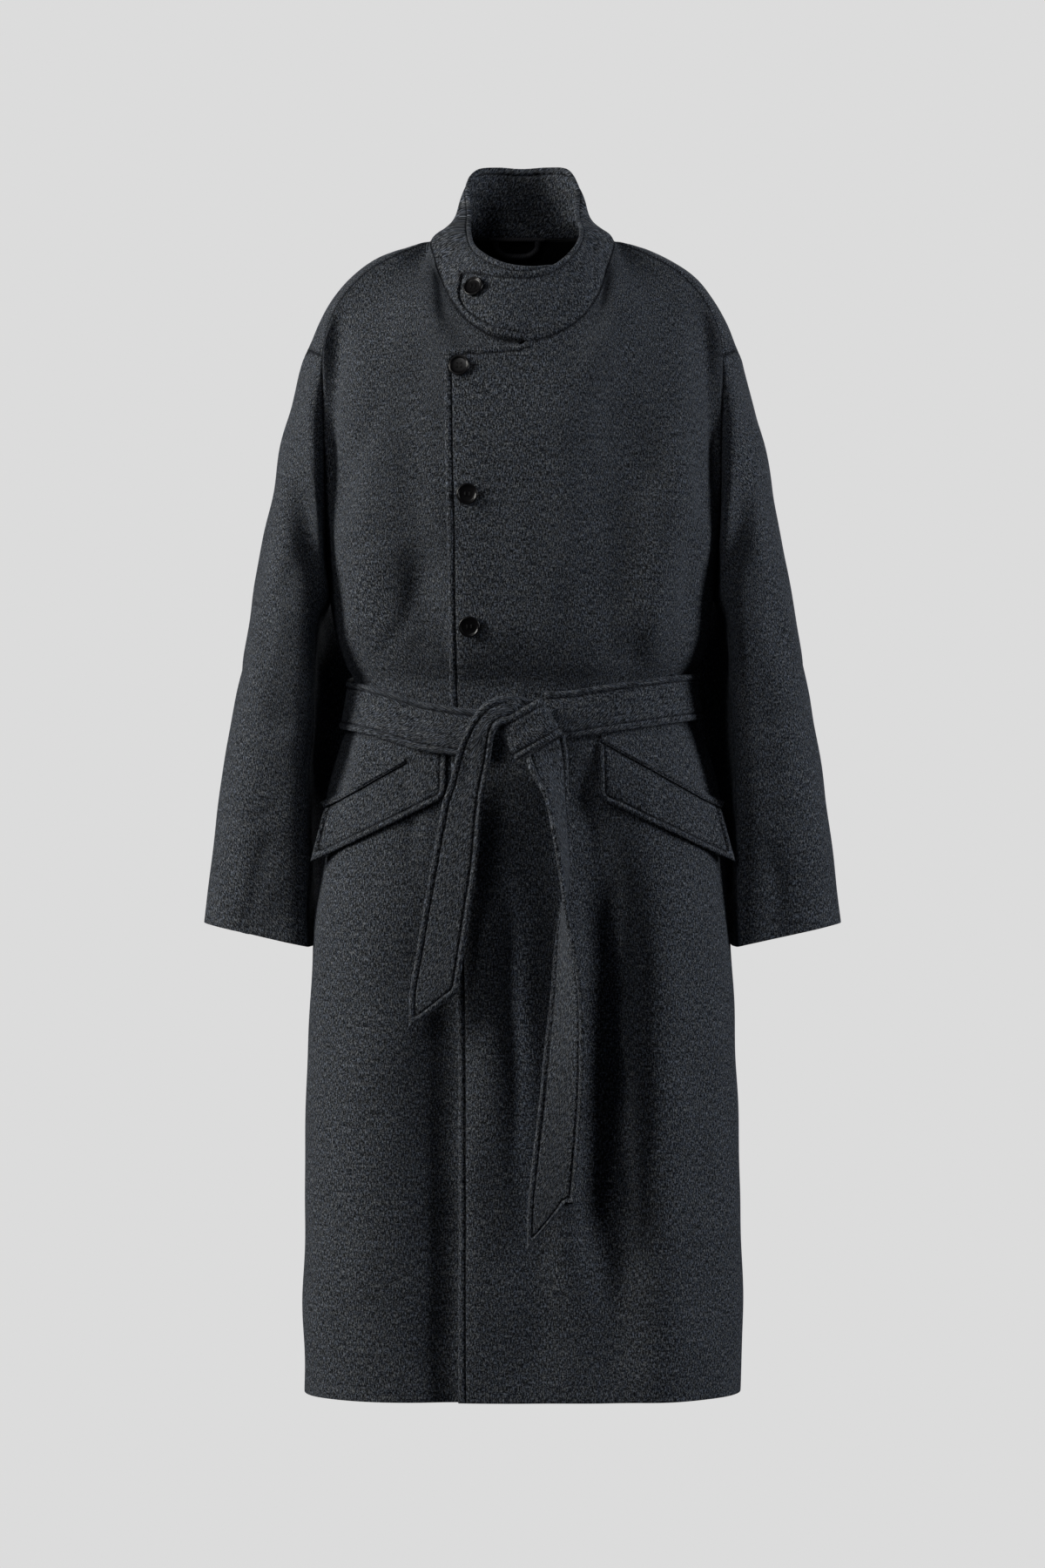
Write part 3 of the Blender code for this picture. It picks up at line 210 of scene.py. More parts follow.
# The collar draws in at its sides: how far, at what height, over what breadth
COLLAR_WAIST, COLLAR_WAIST_AT, COLLAR_WAIST_REACH = 8.0, 27.0, 17.0
COLLAR_SIDES = (35.0, 30.0)  # it draws in past this x, and is full over this stretch
COLLAR_CREASE_DEPTH = 20  # how far behind the front its creases fade in
COLLAR_ON_TOP = (0.5, 0.1)  # share of its length from which it is the one that shows, and the fade
NOTCH_FADE = 30.0  # how far past the notch the tab's lower edge starts to roll
COLLAR_FRONT = 0.6  # share of its length past which it is the part on top in front
TAB_FROM = (0.62, 0.12)  # share of its length where the tab's roll begins, and over which
COLLAR_HIDDEN_LOW = [(33, -104.5, -107), (12, -109.5, -113)]
TAB_LOWER = [(-9, -118.5, -112.5), (-27, -116.5, -108.5), (-45, -108, -99.5), (-58, -98, -88), (-66, -86, -70)]
# Belt round the waist: x, height of the middle, in front
BELT_FRONT = [(-200, -479), (-186, -480), (-145, -489), (-100, -504), (-60, -511), (-38, -513)]
BELT_FRONT_LEFT = [(22, -495), (48, -493), (92, -485), (140, -478), (180, -472), (200, -471)]
BELT_BACK = -474.0
BELT_DEPTH = 111.0  # of the body behind the belt's two front ends
BELT_RISE = (40.0, 2.0, 60.0)  # it climbs over the lap on this stretch, ends this far before it, comes down
BELT_SHOWS_FRONT = (0.35, 0.5)  # how far behind the sides it starts to follow the front: cosine, fade
# Knot: middle, half length and half depth of the turn round it, half width, and how the band slants
KNOT = (6.0, -142.2, -508.0)
KNOT_HALF = (28.0, 17.5)
KNOT_WRAP_HALF_WIDTH = 21.5
KNOT_SLANT = math.radians(30.7)
KNOT_SQUARENESS = 2.7
KNOT_DRAWN_IN = 0.06  # how much smaller the turn is at its two edges
# The belt inside the turn and over its top: x, y, z, half breadth, half depth
KNOT_LOOP = [
    (16, -142.2, -525, 15, 9), (6, -142.2, -508, 15, 9), (-2, -143, -494, 12, 10), (-10, -144, -486, 9, 11),
    (-22, -144, -483, 8.5, 11), (-34, -143, -489, 8.5, 11), (-43, -140, -501, 9, 8), (-46.5, -138, -511, 12, 4),
]
LOOP_SQUARENESS = 2.5
# Hanging ends: z, x and y of the middle, turn in degrees, half width, rise from the middle to the far edge
TAIL_RIGHT = [
    (-516, -47, -138, 26, 18, 3), (-538, -50, -140, 14, 18.2, 1), (-563, -57, -140, -4, 19.5, 0),
    (-600, -62.5, -138, -13, 22, 0), (-644, -68.5, -136, -15, 24.5, 0), (-690, -76, -134, -13, 25, 0),
    (-740, -84, -133, -11, 25, 0), (-773, -89.6, -132, -10, 25, 0),
]
TAIL_RIGHT_TIP = (-114.5, -809.0)  # x and z of its pointed corner
# The belt's right end where it comes over the knot: its left and its right edge, from behind the turn down
TAIL_HEAD = [
    (12, -139, -478, 12, -139, -500), (0, -147, -475.2, 4, -147, -499), (-12, -153, -474, -3, -155, -499.5),
    (-24, -156.5, -475.5, -11, -159, -500.5), (-35.5, -157, -480.5, -18.5, -160.5, -502.5),
    (-45, -155.5, -489.5, -24.5, -160, -506), (-53, -152, -501, -28, -158, -511.5),
    (-60, -147.5, -515, -30, -154.5, -521), (-68, -142, -538, -32.5, -149.5, -541),
    (-74, -137.5, -562, -37, -145.5, -564),
]
TAIL_HEAD_TO = -580.0  # its own rows go on below here
TAIL_LEFT = [
    (-524.5, 22, -142, 24, 22, 12), (-548, 27, -145, 42, 24.5, 6), (-575, 34, -147, 62, 24.5, 2),
    (-607, 38.5, -147, 71, 24.5, 0), (-657, 43, -145, 81, 24.5, 0), (-688, 42, -142, 95, 24.5, 0),
    (-729, 42.7, -139, 113, 24.5, 0), (-773, 44, -136, 128, 24.5, 0), (-816, 43.3, -134, 141, 24.5, 0),
    (-880, 39.3, -131, 154, 24.5, 0), (-930, 34.5, -130, 164, 24.5, 0), (-993, 28.4, -129, 169, 24.5, 0),
]
TAIL_LEFT_TIP = (4.5, -1033.0)
TAIL_CUT = 16.0  # how far the short corner of a turned end lies above its row
# Pocket flap, wearer's left: x and z of its inner top corner, then its outer top, outer low and inner low one
FLAP = [(76, -521), (200, -590), (212, -643), (77, -577)]
FLAP_HOLD = 186.0  # past this x the flap leaves the body's curve
FLAP_LIES = (1.0, 2.4)  # how far it stands off at its seam and at its lower edge
FLAP_CORNER = 12.0  # radius of its outer lower corner
FLAP_SEAM = 0.6  # how deep it dives into its seam, as a share of other seams
FLAP_TURN = 0.75  # how far it turns back with the body past there, as a share of the slope
PANEL_POINTS = 5  # how many of a front's points a place on it is worked out from
LEAST_FACING, FLAP_LEAST_FACING = 0.25, 0.4  # how edge-on the cloth may be seen before its slope is capped
FLAP_OUT = 0.15  # and how far it stands off there, for each mm
FLAP_BELOW_BELT = (2.5, 12.0)  # the belt holds it this far down, and further at its lower edge
WELT_STAND = 0.7
WELT_WIDTH = 6.5
WELT_RIDGE = 1.0  # how far its middle stands out
WELT_GAP = 1.7  # between a welt and the flap below it
WELT_HIDDEN = 46.0  # the belt covers this much of the welt on the wearer's right
# Buttons: name, x, z
BUTTONS = [
    ("button_1", -49, -59.5), ("button_2", -63.5, -141), ("button_3", -55.4, -271.5),
    ("button_4", -53.2, -404.7),
]
# Hanger loop, from one end to the other: x, y, z
HANGER = [
    (-28, 61.7, 5), (-27, 64.7, -3), (-20, 67.2, -9), (-6, 68.2, -11), (8, 67.2, -9), (15, 64.7, -3),
    (16, 61.7, 5),
]
HANGER_RADIUS = 3.0
HANGER_PUCKER = (0.05, 0.9)  # how much its radius changes, as a share, and how fast
BAR_PAST = 7.0  # how far the stitched bar goes on past the loop's ends
BAR_OFF = (-1.5, 1.2)  # its y and z from them
BAR_BOW = 0.00088  # how it bends back with x squared
BAR_SECTION = (2.2, 1.6)
BAR_SQUARENESS = 2.6
LINING_GAP = 0.5
LINING_SHORT = 1.2  # how far its top edge stops below the neck seam

# ---- how finely the cloth is drawn ----
# Distance between the points of each cloth in mm, along its rows and its columns
STEPS = {
    "body": (5.0, 6.0), "collar": (3.2, 3.2), "belt": (4.0, 3.5), "knot": (2.2, 2.2), "tail": (3.5, 4.0),
    "pocket": (4.0, 3.0),
}
FINER = 4  # columns for each of the frame's own
LAP_COLUMNS = np.linspace(-LAP_EDGE, LAP_EDGE, 9 * FINER + 1)
NECK_COLUMNS = 4 * FINER
SHOULDER_COLUMNS = 8 * FINER
BACK_NECK_COLUMNS = 8 * FINER
UPPER_ROWS = 10 * FINER
LINING_ROWS = 6 * FINER + 1
# Rows of the body from the hem to the underarms: how many stretches up to each height
ROW_STRETCHES = [(48, -650.0), (20, -520.0), (28, UNDERARM)]
LOW_ROWS = 1 + sum(count for count, _ in ROW_STRETCHES)
SLEEVE_ROWS = 60
SLEEVE_SEAMS = (2 * FINER, 15 * FINER)  # columns of the front and back seams, from the underarm forwards
BELT_COLUMNS = (36, 72, 44)  # from its right end to the side, round the back, on to its left end
COLLAR_ROWS = 5
TAIL_ROWS, TAIL_ROWS_WITH_HEAD = 60, 90
# Points across the belt, round and across the knot's wrap, along and round its loop, and across a tail
BELT_ACROSS, WRAP_ROUND, WRAP_ACROSS, LOOP_ALONG, LOOP_ROUND, TAIL_ACROSS = 7, 97, 9, 64, 40, 9
GUIDE_EASE = 0.8  # how far the distances between guide lines are evened out
# Points of a smooth curve through a few
COLUMN_POINTS, LINE_POINTS, BAND_POINTS, LONG_LINE_POINTS = 200, 240, 600, 900
EDGE_POINTS = 1200  # of an edge that a piece is moved onto
CREASE_POINTS = 60
CAP_SHARES = (0.0, 0.55, 0.88)  # how a bar's ends close
MERGE = 0.00001  # metres

# ---- sewing, in mm ----
# Distances from an edge at which cloth is drawn, for a stitched edge and for a plain one
STITCHED = (0.0, 0.35, 0.9, 1.7, 3.0, 4.6, 5.8, 6.5, 7.2, 7.9, 8.6, 9.8, 12.0)
PLAIN = (0.0, 0.35, 0.9, 1.8, 3.2, 5.2)
STITCH_LINE = 7.2  # from a stitched edge to its row of stitches
STITCH_INDEX, CORNER_INDEX, PAST_CORNER = 8, 10, 11  # places in STITCHED: the line, and where it turns a corner
SEAM_DIP = 1.9  # how deep the cloth dives into a seam
SEAM_REACH = 2.3
SEAM_HOLD = 18.0  # a seam keeps the cloth still this far out
GROOVE_DEPTH = 1.3  # how far a row of stitches pulls the cloth in
GROOVE_REACH = 1.35
EDGE_PUFF = 0.9  # how far the cloth swells between stitching and edge
COLLAR_ROLL, COLLAR_ROLL_REACH = 2.8, 7.0  # how far, and over what breadth, the tab's free edges roll outwards
CORNER_ROUND = 2.2  # how far a row of stitches rounds a corner
FACING = 85.0  # wool inside a front edge, before the lining starts
HEM_TURN_UP = 42.0
CUFF_TURN_UP = 38.0
STITCH_PITCH = 3.8
EDGE_FROM = 11.0  # the front edge's stitches begin this far below its free top
# The tab's lower edge shows in front of this y at the centre, which falls back with x squared by this
TAB_FRONT, TAB_FRONT_ROUND = -108.0, 0.004
STITCH_SIZE = (3.1, 0.75, 0.6)  # length, breadth, height
STITCH_RISE = 0.12  # how far a stitch's middle stands out of the cloth
SLIT_FROM, SLIT_LENGTH = 2.0, 15.0  # a buttonhole, from its button's middle outwards
SLIT_DIP = 0.9  # how far the cloth sinks at a buttonhole
SLIT_SOFT = (1.5, 1.6)  # how far that goes on past its ends, and half its breadth
SLIT_PITCH = 0.8  # from one overcast stitch to the next
SLIT_LIPS = (0.35, 1.95)  # where such a stitch begins and ends, from the middle of the slit
SLIT_STITCH = (1.9, 0.62, 0.5)
SEAM_TURN = 9.0  # over this far from a seam, a piece turns to lie flush with its neighbour
SEAM_MEETS, SEAM_PARTS = 2.5, 3.0  # edges closer than this are sewn together, and part over this
SEAM_LEAD = 25.0  # over this far from its seam, a piece is moved onto it
ARMHOLE_LEAD = 60.0  # an armhole begins to hold the body still this far below the underarm
FAR, LOOSE = 60.0, 200.0  # distances that stand for no edge near by, and for an edge that holds nothing
TOP_FADES = (2.0, 4.0)  # how soon a free top edge becomes the neck seam, and that the shoulder seam
NECK_RADIUS = 85.0  # the wool's pattern runs round the collar as round a tube of this size
# How far along the bolt each node's cloth is cut in mm, so that no two show the same speckle
CUT_FROM = {
    "front_left": 0, "front_right": 700, "back": 1500, "sleeve_left_top": 2300, "sleeve_right_top": 2300,
    "sleeve_left_under": 2900, "sleeve_right_under": 2900, "collar": 3600, "belt_waist": 4300,
    "belt_knot_wrap": 4900, "flap_left": 5200, "flap_right": 5500, "welt_left": 5800, "welt_right": 6000,
    "belt_tail_right": 6300, "belt_tail_left": 6600, "lining_back": 0,
}

# ---- buttons and stage ----
HOLE_PLACE, HOLE_RADIUS = 2.15, 0.95  # a hole's x and y from the button's middle, and its radius
HOLE_CUT = 14.0  # length of what cuts it
BUTTON_LIFT = 0.3  # how far its back lies off the cloth
BUTTON_SMOOTH = math.radians(35)  # edges that turn less than this are drawn smooth
# Threads over its face: half their distance from each other, their radius, and their route as y and height
THREAD_APART, THREAD_RADIUS = 0.28, 0.27
THREAD_ROUTE = [
    (-HOLE_PLACE, 1.2), (-HOLE_PLACE + 0.3, 2.75), (0, 3.0), (HOLE_PLACE - 0.3, 2.75), (HOLE_PLACE, 1.2),
]
# Half section of a button from the middle of its back round the rim to the middle of its face: radius, height
BUTTON_SECTION = [
    (0, 0.2), (6.0, 0.0), (8.6, 0.15), (9.9, 0.7), (10.6, 1.4), (10.85, 2.1), (10.75, 2.8), (10.35, 3.35),
    (9.8, 3.62), (9.25, 3.62), (8.75, 3.35), (8.35, 2.95), (7.8, 2.62), (6.8, 2.5), (5.2, 2.42), (3.0, 2.36),
    (0, 2.34),
]
CAMERA_PLACE = (0.0, -5.0, -0.563)
LIT_PLACE = (0.0, 0.0, -0.5)  # what the lights are turned to
# Name, place, width and height in metres, share of the light's power, colour
LIGHTS = [
    ("light_left", (-3.55, -1.0, 0.9), (1.1, 1.9), 0.86, "#fffdf8"),
    ("light_left_front", (-2.3, -3.5, 1.3), (1.0, 1.6), 0.12, "#ffffff"),
    ("light_right", (3.4, -1.0, 0.5), (1.0, 2.2), 0.46, "#f8fbff"),
    ("light_behind", (0.5, 3.6, 1.4), (2.4, 1.6), 0.4, "#ffffff"),
]

# ---- creases, in mm ----
FOLD_FADE, CREASE_FADE = 60.0, 50.0  # folds and creases of the body fade out over this depth at its sides
BELT_PRESS, BELT_PRESS_REACH = 3.2, 0.56  # how far the belt presses the body in, and its reach in belt widths
BELT_TURN = (20.0, 60.0)  # behind this y the belt comes to its height at the back, over this depth
# Unevenness of each cloth: size, height, seed
WAVERS = {
    "body": (95.0, 0.9, 7), "sleeve_left": (80.0, 0.9, 11), "sleeve_right": (80.0, 0.9, 12),
    "collar": (45.0, 0.5, 13), "belt": (70.0, 0.6, 14), "lining_back": (60.0, 0.6, 21), "knot": (40.0, 0.5, 31),
    "tail": (90.0, 1.0, 41), "flap_left": (70.0, 0.7, 51), "flap_right": (70.0, 0.7, 52),
}
# On each side of the body: line in front view as x and z, half breadth, height out
FRONT_CREASES = [
    ([(-150, -440), (-120, -400), (-104, -350)], 9, -2.6),
    ([(-70, -452), (-80, -420), (-78, -380)], 8, -2.2),
    ([(36, -448), (42, -400), (38, -340)], 8, -2.6),
    ([(70, -450), (78, -415), (72, -370)], 7, 1.8),
    ([(110, -446), (116, -410), (128, -372)], 8, -2.4),
    ([(160, -440), (158, -405), (150, -360)], 7, 1.8),
    ([(-180, -440), (-176, -400), (-168, -350)], 8, 1.8),
    ([(-120, -545), (-112, -590), (-114, -650)], 8, -2.4),
    ([(-60, -552), (-56, -600), (-60, -660)], 8, 1.8),
    ([(60, -535), (66, -575), (70, -640)], 8, -2.8),
    ([(120, -530), (126, -570), (124, -620)], 9, 2.0),
    ([(160, -524), (170, -560), (172, -610)], 8, -2.0),
    ([(-178, -508), (-184, -545), (-192, -590)], 8, -4.0),
    ([(-160, -512), (-164, -550), (-170, -600)], 8, 2.4),
    ([(178, -500), (186, -540), (194, -590)], 8, -3.6),
    ([(150, -190), (172, -230), (188, -300)], 12, -3.2),
    ([(-150, -190), (-172, -235), (-188, -300)], 12, -3.2),
    ([(176, -330), (150, -310), (120, -300)], 12, -2.2),
    ([(-176, -330), (-150, -312), (-118, -306)], 12, -2.2),
    ([(30, -180), (60, -230), (80, -300)], 14, -2.0),
    ([(-114, -170), (-110, -290), (-92, -440)], 20, -5.0),
    ([(44, -170), (49, -320), (54, -465)], 28, 9.0),
    ([(98, -120), (94, -290), (80, -446)], 32, -13.0),
    ([(122, -180), (124, -260), (124, -350)], 22, -3.5),
    ([(158, -160), (154, -290), (124, -440)], 20, 8.5),
    ([(172, -320), (164, -390), (153, -446)], 11, -4.0),
    ([(-140, -600), (-150, -900), (-150, -1185)], 34, 3.0),
    ([(-42, -640), (-46, -900), (-50, -1185)], 14, 2.6),
    ([(16, -560), (14, -860), (18, -1185)], 22, -10.0),
    ([(90, -570), (93, -900), (90, -1185)], 24, -14.0),
    ([(184, -70), (189, -115), (194, -185), (198, -270)], 8, -8.0),
    ([(-186, -80), (-191, -120), (-195, -190), (-199, -270)], 8, -8.0),
    ([(134, -610), (140, -900), (144, -1185)], 26, 7.0),
]
BACK_CREASES = [
    ([(-150, -440), (-130, -400), (-110, -350)], 9, -2.4),
    ([(-60, -450), (-70, -410), (-64, -360)], 8, -2.2),
    ([(20, -450), (26, -405), (18, -350)], 8, -2.2),
    ([(90, -448), (96, -410), (104, -360)], 8, -2.4),
    ([(150, -440), (146, -400), (140, -350)], 8, 1.8),
    ([(-110, -530), (-104, -575), (-108, -640)], 8, -2.2),
    ([(-30, -530), (-36, -580), (-30, -650)], 8, 2.0),
    ([(60, -530), (66, -575), (60, -640)], 8, -2.4),
    ([(130, -530), (138, -570), (140, -630)], 8, -2.0),
    ([(-190, -160), (-160, -240), (-120, -320)], 14, -3.0),
    ([(190, -160), (160, -240), (122, -316)], 14, -3.0),
]
# On the lower front alone, where it falls back from the upper front's edge
UNDER_LAP = ([(-72, -620), (-70, -760), (-69, -1000), (-69, -1600)], 24, -9.0)
# On the sleeves, given for the wearer's left: which, view axes, line, half breadth, height out
SLEEVE_CREASES = [
    ("both", (0, 2), [(232, -330), (258, -400), (268, -470)], 11, -3.0),
    ("both", (0, 2), [(300, -470), (268, -500), (226, -506)], 9, -3.4),
    ("left", (0, 2), [(306, -520), (276, -548), (232, -556)], 9, -2.8),
    ("right", (0, 2), [(300, -500), (262, -532), (228, -560)], 9, -3.0),
    ("both", (0, 2), [(314, -600), (280, -600), (240, -586)], 8, -2.0),
    ("left", (0, 2), [(246, -620), (262, -670), (258, -720)], 10, -2.2),
    ("right", (0, 2), [(256, -610), (272, -660), (282, -720)], 10, -2.2),
    ("both", (1, 2), [(60, -470), (84, -520), (70, -580)], 10, -2.6),
    ("both", (1, 2), [(-30, -420), (10, -450), (60, -455)], 12, -2.4),
]
# On the collar, the belt, the knot and the belt's ends, in front: line, half breadth, height out
COLLAR_CREASES = [
    ([(-71, -35), (-71, -60), (-66, -95)], 4.5, -1.6),
    ([(60, -5), (63, -45), (60, -80)], 4.0, 1.3),
    ([(76, -2), (79, -40), (74, -70)], 4.0, 1.3),
    ([(8, -44), (9, -52), (8, -60)], 2.5, -1.2),
]
BELT_CREASES = [
    ([(-150, -480), (-110, -498), (-60, -514)], 7, -1.2),
    ([(22, -490), (60, -492), (110, -484)], 8, -1.4),
    ([(-60, -505), (-48, -510), (-36, -512)], 6, -1.6),
]
KNOT_CREASES = [([(-18, -520), (6, -506), (28, -492)], 5, -1.0)]
TAIL_LEFT_CREASES = [([(22, -530), (34, -560), (40, -590)], 5, -1.6)]
TAIL_RIGHT_CREASES = [([(-50, -520), (-56, -545), (-58, -575)], 6, -1.4)]

# Which edges are sewn together: piece, its edge, and the pieces and edges that it meets
SLEEVES_LEFT = [("sleeve_left_top", "high"), ("sleeve_left_under", "high")]
SLEEVES_RIGHT = [("sleeve_right_top", "high"), ("sleeve_right_under", "high")]
SEAMS = [
    *[(name, "high", [("back", "high"), ("collar", "low")]) for name in ("left", "right")],
    ("back", "high", [("left", "high"), ("right", "high"), ("collar", "low")]),
    ("collar", "low", [("left", "high"), ("right", "high"), ("back", "high")]),
    ("left", "end", [("back", "start"), *SLEEVES_LEFT]),
    ("back", "start", [("left", "end"), *SLEEVES_LEFT]),
    ("right", "start", [("back", "end"), *SLEEVES_RIGHT]),
    ("back", "end", [("right", "start"), *SLEEVES_RIGHT]),
    *[(name, "high", [("left", "end"), ("back", "start")]) for name, _ in SLEEVES_LEFT],
    *[(name, "high", [("right", "start"), ("back", "end")]) for name, _ in SLEEVES_RIGHT],
    *[(f"sleeve_{side}_{first}", edge, [(f"sleeve_{side}_{second}", other)])
      for side in ("left", "right") for first, second in (("top", "under"), ("under", "top"))
      for edge, other in (("start", "end"), ("end", "start"))],
]


# ---- curves and grids ----
def unit(v):
    return v / np.maximum(np.linalg.norm(v, axis=-1, keepdims=True), 1e-9)


def smoothstep(t):
    t = np.clip(t, 0.0, 1.0)
    return t * t * (3 - 2 * t)


def curve(knots, values, at):
    """Values at places between the knots, on a smooth curve through all of them."""
    knots, values, at = (np.asarray(a, float) for a in (knots, values, at))
    step = np.diff(knots)
    wide = (slice(None),) + (None,) * (values.ndim - 1)
    slope = np.diff(values, axis=0) / step[wide]
    tangent = np.concatenate([slope[:1], slope[:1].repeat(len(knots) - 2, 0), slope[-1:]])
    share = (step[1:] / (step[1:] + step[:-1]))[wide]
    tangent[1:-1] = slope[:-1] * share + slope[1:] * (1 - share)
    i = np.clip(np.searchsorted(knots, at, side="right") - 1, 0, len(knots) - 2)
    size = step[i]
    u = (at - knots[i]) / size
    wide = (Ellipsis,) + (None,) * (values.ndim - 1)
    u, size = u[wide], size[wide]
    rise = u * u * (3 - 2 * u)
    return (
        (1 - rise) * values[i] + rise * values[i + 1]
        + size * u * (1 - u) * ((1 - u) * tangent[i] - u * tangent[i + 1])
    )


def column_of(rows, at):
    """The other columns of a table whose first column rises, at places in that first column."""
    rows = np.array(rows, float)
    return curve(rows[:, 0], rows[:, 1:], at)


def lengths(points, axis=0):
    """Distances along lines of points, from where each line starts."""
    steps = np.linalg.norm(np.diff(points, axis=axis), axis=-1)
    return np.cumsum(np.insert(steps, 0, 0.0, axis=axis), axis=axis)


def points_at(points, along, at):
    """Points at distances along a line, from the distances of its own points."""
    return np.stack([np.interp(at, along, points[:, k]) for k in range(points.shape[1])], axis=-1)


def rounded(points, count=LINE_POINTS):
    """Many points on a smooth curve through a few."""
    points = np.array(points, float)
    along = lengths(points)
    return curve(along, points, np.linspace(0, along[-1], count))


def share_out(points, shares):
    """Points at shares of a line's length."""
    along = lengths(points)
    return points_at(points, along, np.asarray(shares) * along[-1])


def spaced(points, count, between=LINE_POINTS):
    """Evenly spaced points on a smooth curve through a few."""
    return share_out(rounded(points, between), even(count))


def squared(turn, power, half=1.0, depth=1.0):
    """Distance from the middle of an oval to its rim at each angle; a higher power squares it off."""
    return (np.abs(np.cos(turn) / depth) ** power + np.abs(np.sin(turn) / half) ** power) ** (-1 / power)


def even(count):
    return np.linspace(0, 1, count + 1)


def mirrored(points):
    return points * np.array([-1.0, 1.0, 1.0])


def normals_of(grid, closed=False):
    """Directions square to a grid of points, from its rows and columns."""
    if closed:
        grid = np.concatenate([grid[:, -1:], grid, grid[:, :1]], axis=1)
    up = np.gradient(grid, axis=0)
    across = np.gradient(grid, axis=1)
    normals = unit(np.cross(across, up))
    return normals[:, 1:-1] if closed else normals


def outward(points):
    """Level directions away from the body's middle, the same for every panel that passes a place."""
    half, depth = BODY_OVAL
    return unit(points * np.array([1 / half**2, 1 / depth**2, 0.0]))


def towards(points, side, over):
    """How far points lie in front or behind, fading out over a depth at the sides."""
    return smoothstep((-1 if side == "front" else 1) * points[..., 1] / over)


def folds(points):
    """How far the folds push each point out."""
    x, z = points[..., 0], points[..., 2]
    total = np.zeros(x.shape)
    for side, rows in (("front", FRONT_FOLDS), ("back", BACK_FOLDS)):
        facing = towards(points, side, FOLD_FADE)
        for x_top, z_top, x_low, z_low, breadth, height, fade in rows:
            middle = np.interp(-z, [-z_top, -z_low], [x_top, x_low])
            along = smoothstep((z_top - z) / fade) * smoothstep((z - z_low) / fade)
            total += height * facing * along * np.exp(-(((x - middle) / breadth) ** 2))
    return total


def folded(points):
    return points + outward(points) * folds(points)[..., None]


def section(z):
    return column_of(SECTIONS, z)


def edge_share(z):
    return float(np.interp(z, *np.array(EDGE_SHARE).T))


def section_point(x, z, behind=False):
    """The point of the section at height z whose x is given."""
    half, front, back, power = section(z)
    depth = back if behind else front
    reach = (1 - np.minimum(np.abs(np.asarray(x, float)) / half, 1) ** power) ** (1 / power)
    y = depth * reach * (1 if behind else -1)
    return np.stack([np.asarray(x, float), y, np.full(np.shape(x), float(z))], axis=-1)


def section_arc(x_from, z, behind=False, count=160):
    """Points of the section from x_from round to the side."""
    half, front, back, power = section(z)
    depth = back if behind else front
    y_from = abs(section_point(x_from, z, behind)[..., 1])
    angle = np.linspace(math.atan2(x_from, y_from), math.pi / 2, count)
    reach = squared(angle, power, half, depth)
    y = reach * np.cos(angle) * (1 if behind else -1)
    return np.stack([reach * np.sin(angle), y, np.full(count, float(z))], axis=-1)


def lower_heights():
    """Heights of the rows below the underarms, closer together at the waist."""
    heights = [HEM]
    for count, top in ROW_STRETCHES:
        heights.extend(np.linspace(heights[-1], top, count + 1)[1:])
    return np.array(heights)


def guide_columns(table, x_edge, past, lap_x):
    """Columns on a guide line: at the lap's own places, then evenly to the armhole."""
    table = np.array(table, float)
    rest = rounded(table)
    at_lap = column_of(table, np.abs(lap_x))
    lap = np.concatenate([np.asarray(lap_x, float)[:, None], at_lap], axis=1)
    rest = rest[rest[:, 0] > x_edge]
    start = np.concatenate([[x_edge], column_of(table, x_edge)])
    rest = share_out(np.concatenate([start[None], rest]), even(past))
    return lap, rest


def rows_through(guides, count):
    """Rows from the second guide to the last, along a smooth curve through all the guides in each column."""
    guides = np.array(guides)
    out = np.empty((count, guides.shape[1], 3))
    for k in range(guides.shape[1]):
        line = guides[:, k]
        along = np.concatenate([[0], np.cumsum(np.linalg.norm(np.diff(line, axis=0), axis=1) ** GUIDE_EASE)])
        dense = curve(along, line, np.linspace(along[1], along[-1], COLUMN_POINTS))
        out[:, k] = share_out(dense, even(count))[1:]
    return out


def nearest_to(line, point):
    """Which of a line's points is nearest to a place."""
    return int(np.argmin(np.linalg.norm(line - np.array(point, float), axis=1)))


def neckline_part(x_from, x_to_row, count):
    """Points of the neckline from a given x to a row of its table."""
    line = rounded(NECKLINE, LONG_LINE_POINTS)
    target = np.array(NECKLINE[x_to_row], float)
    start = int(np.argmax(line[:, 0] >= x_from))
    end = nearest_to(line, target)
    part = line[start:end + 1]
    part[-1] = target
    return share_out(part, even(count))


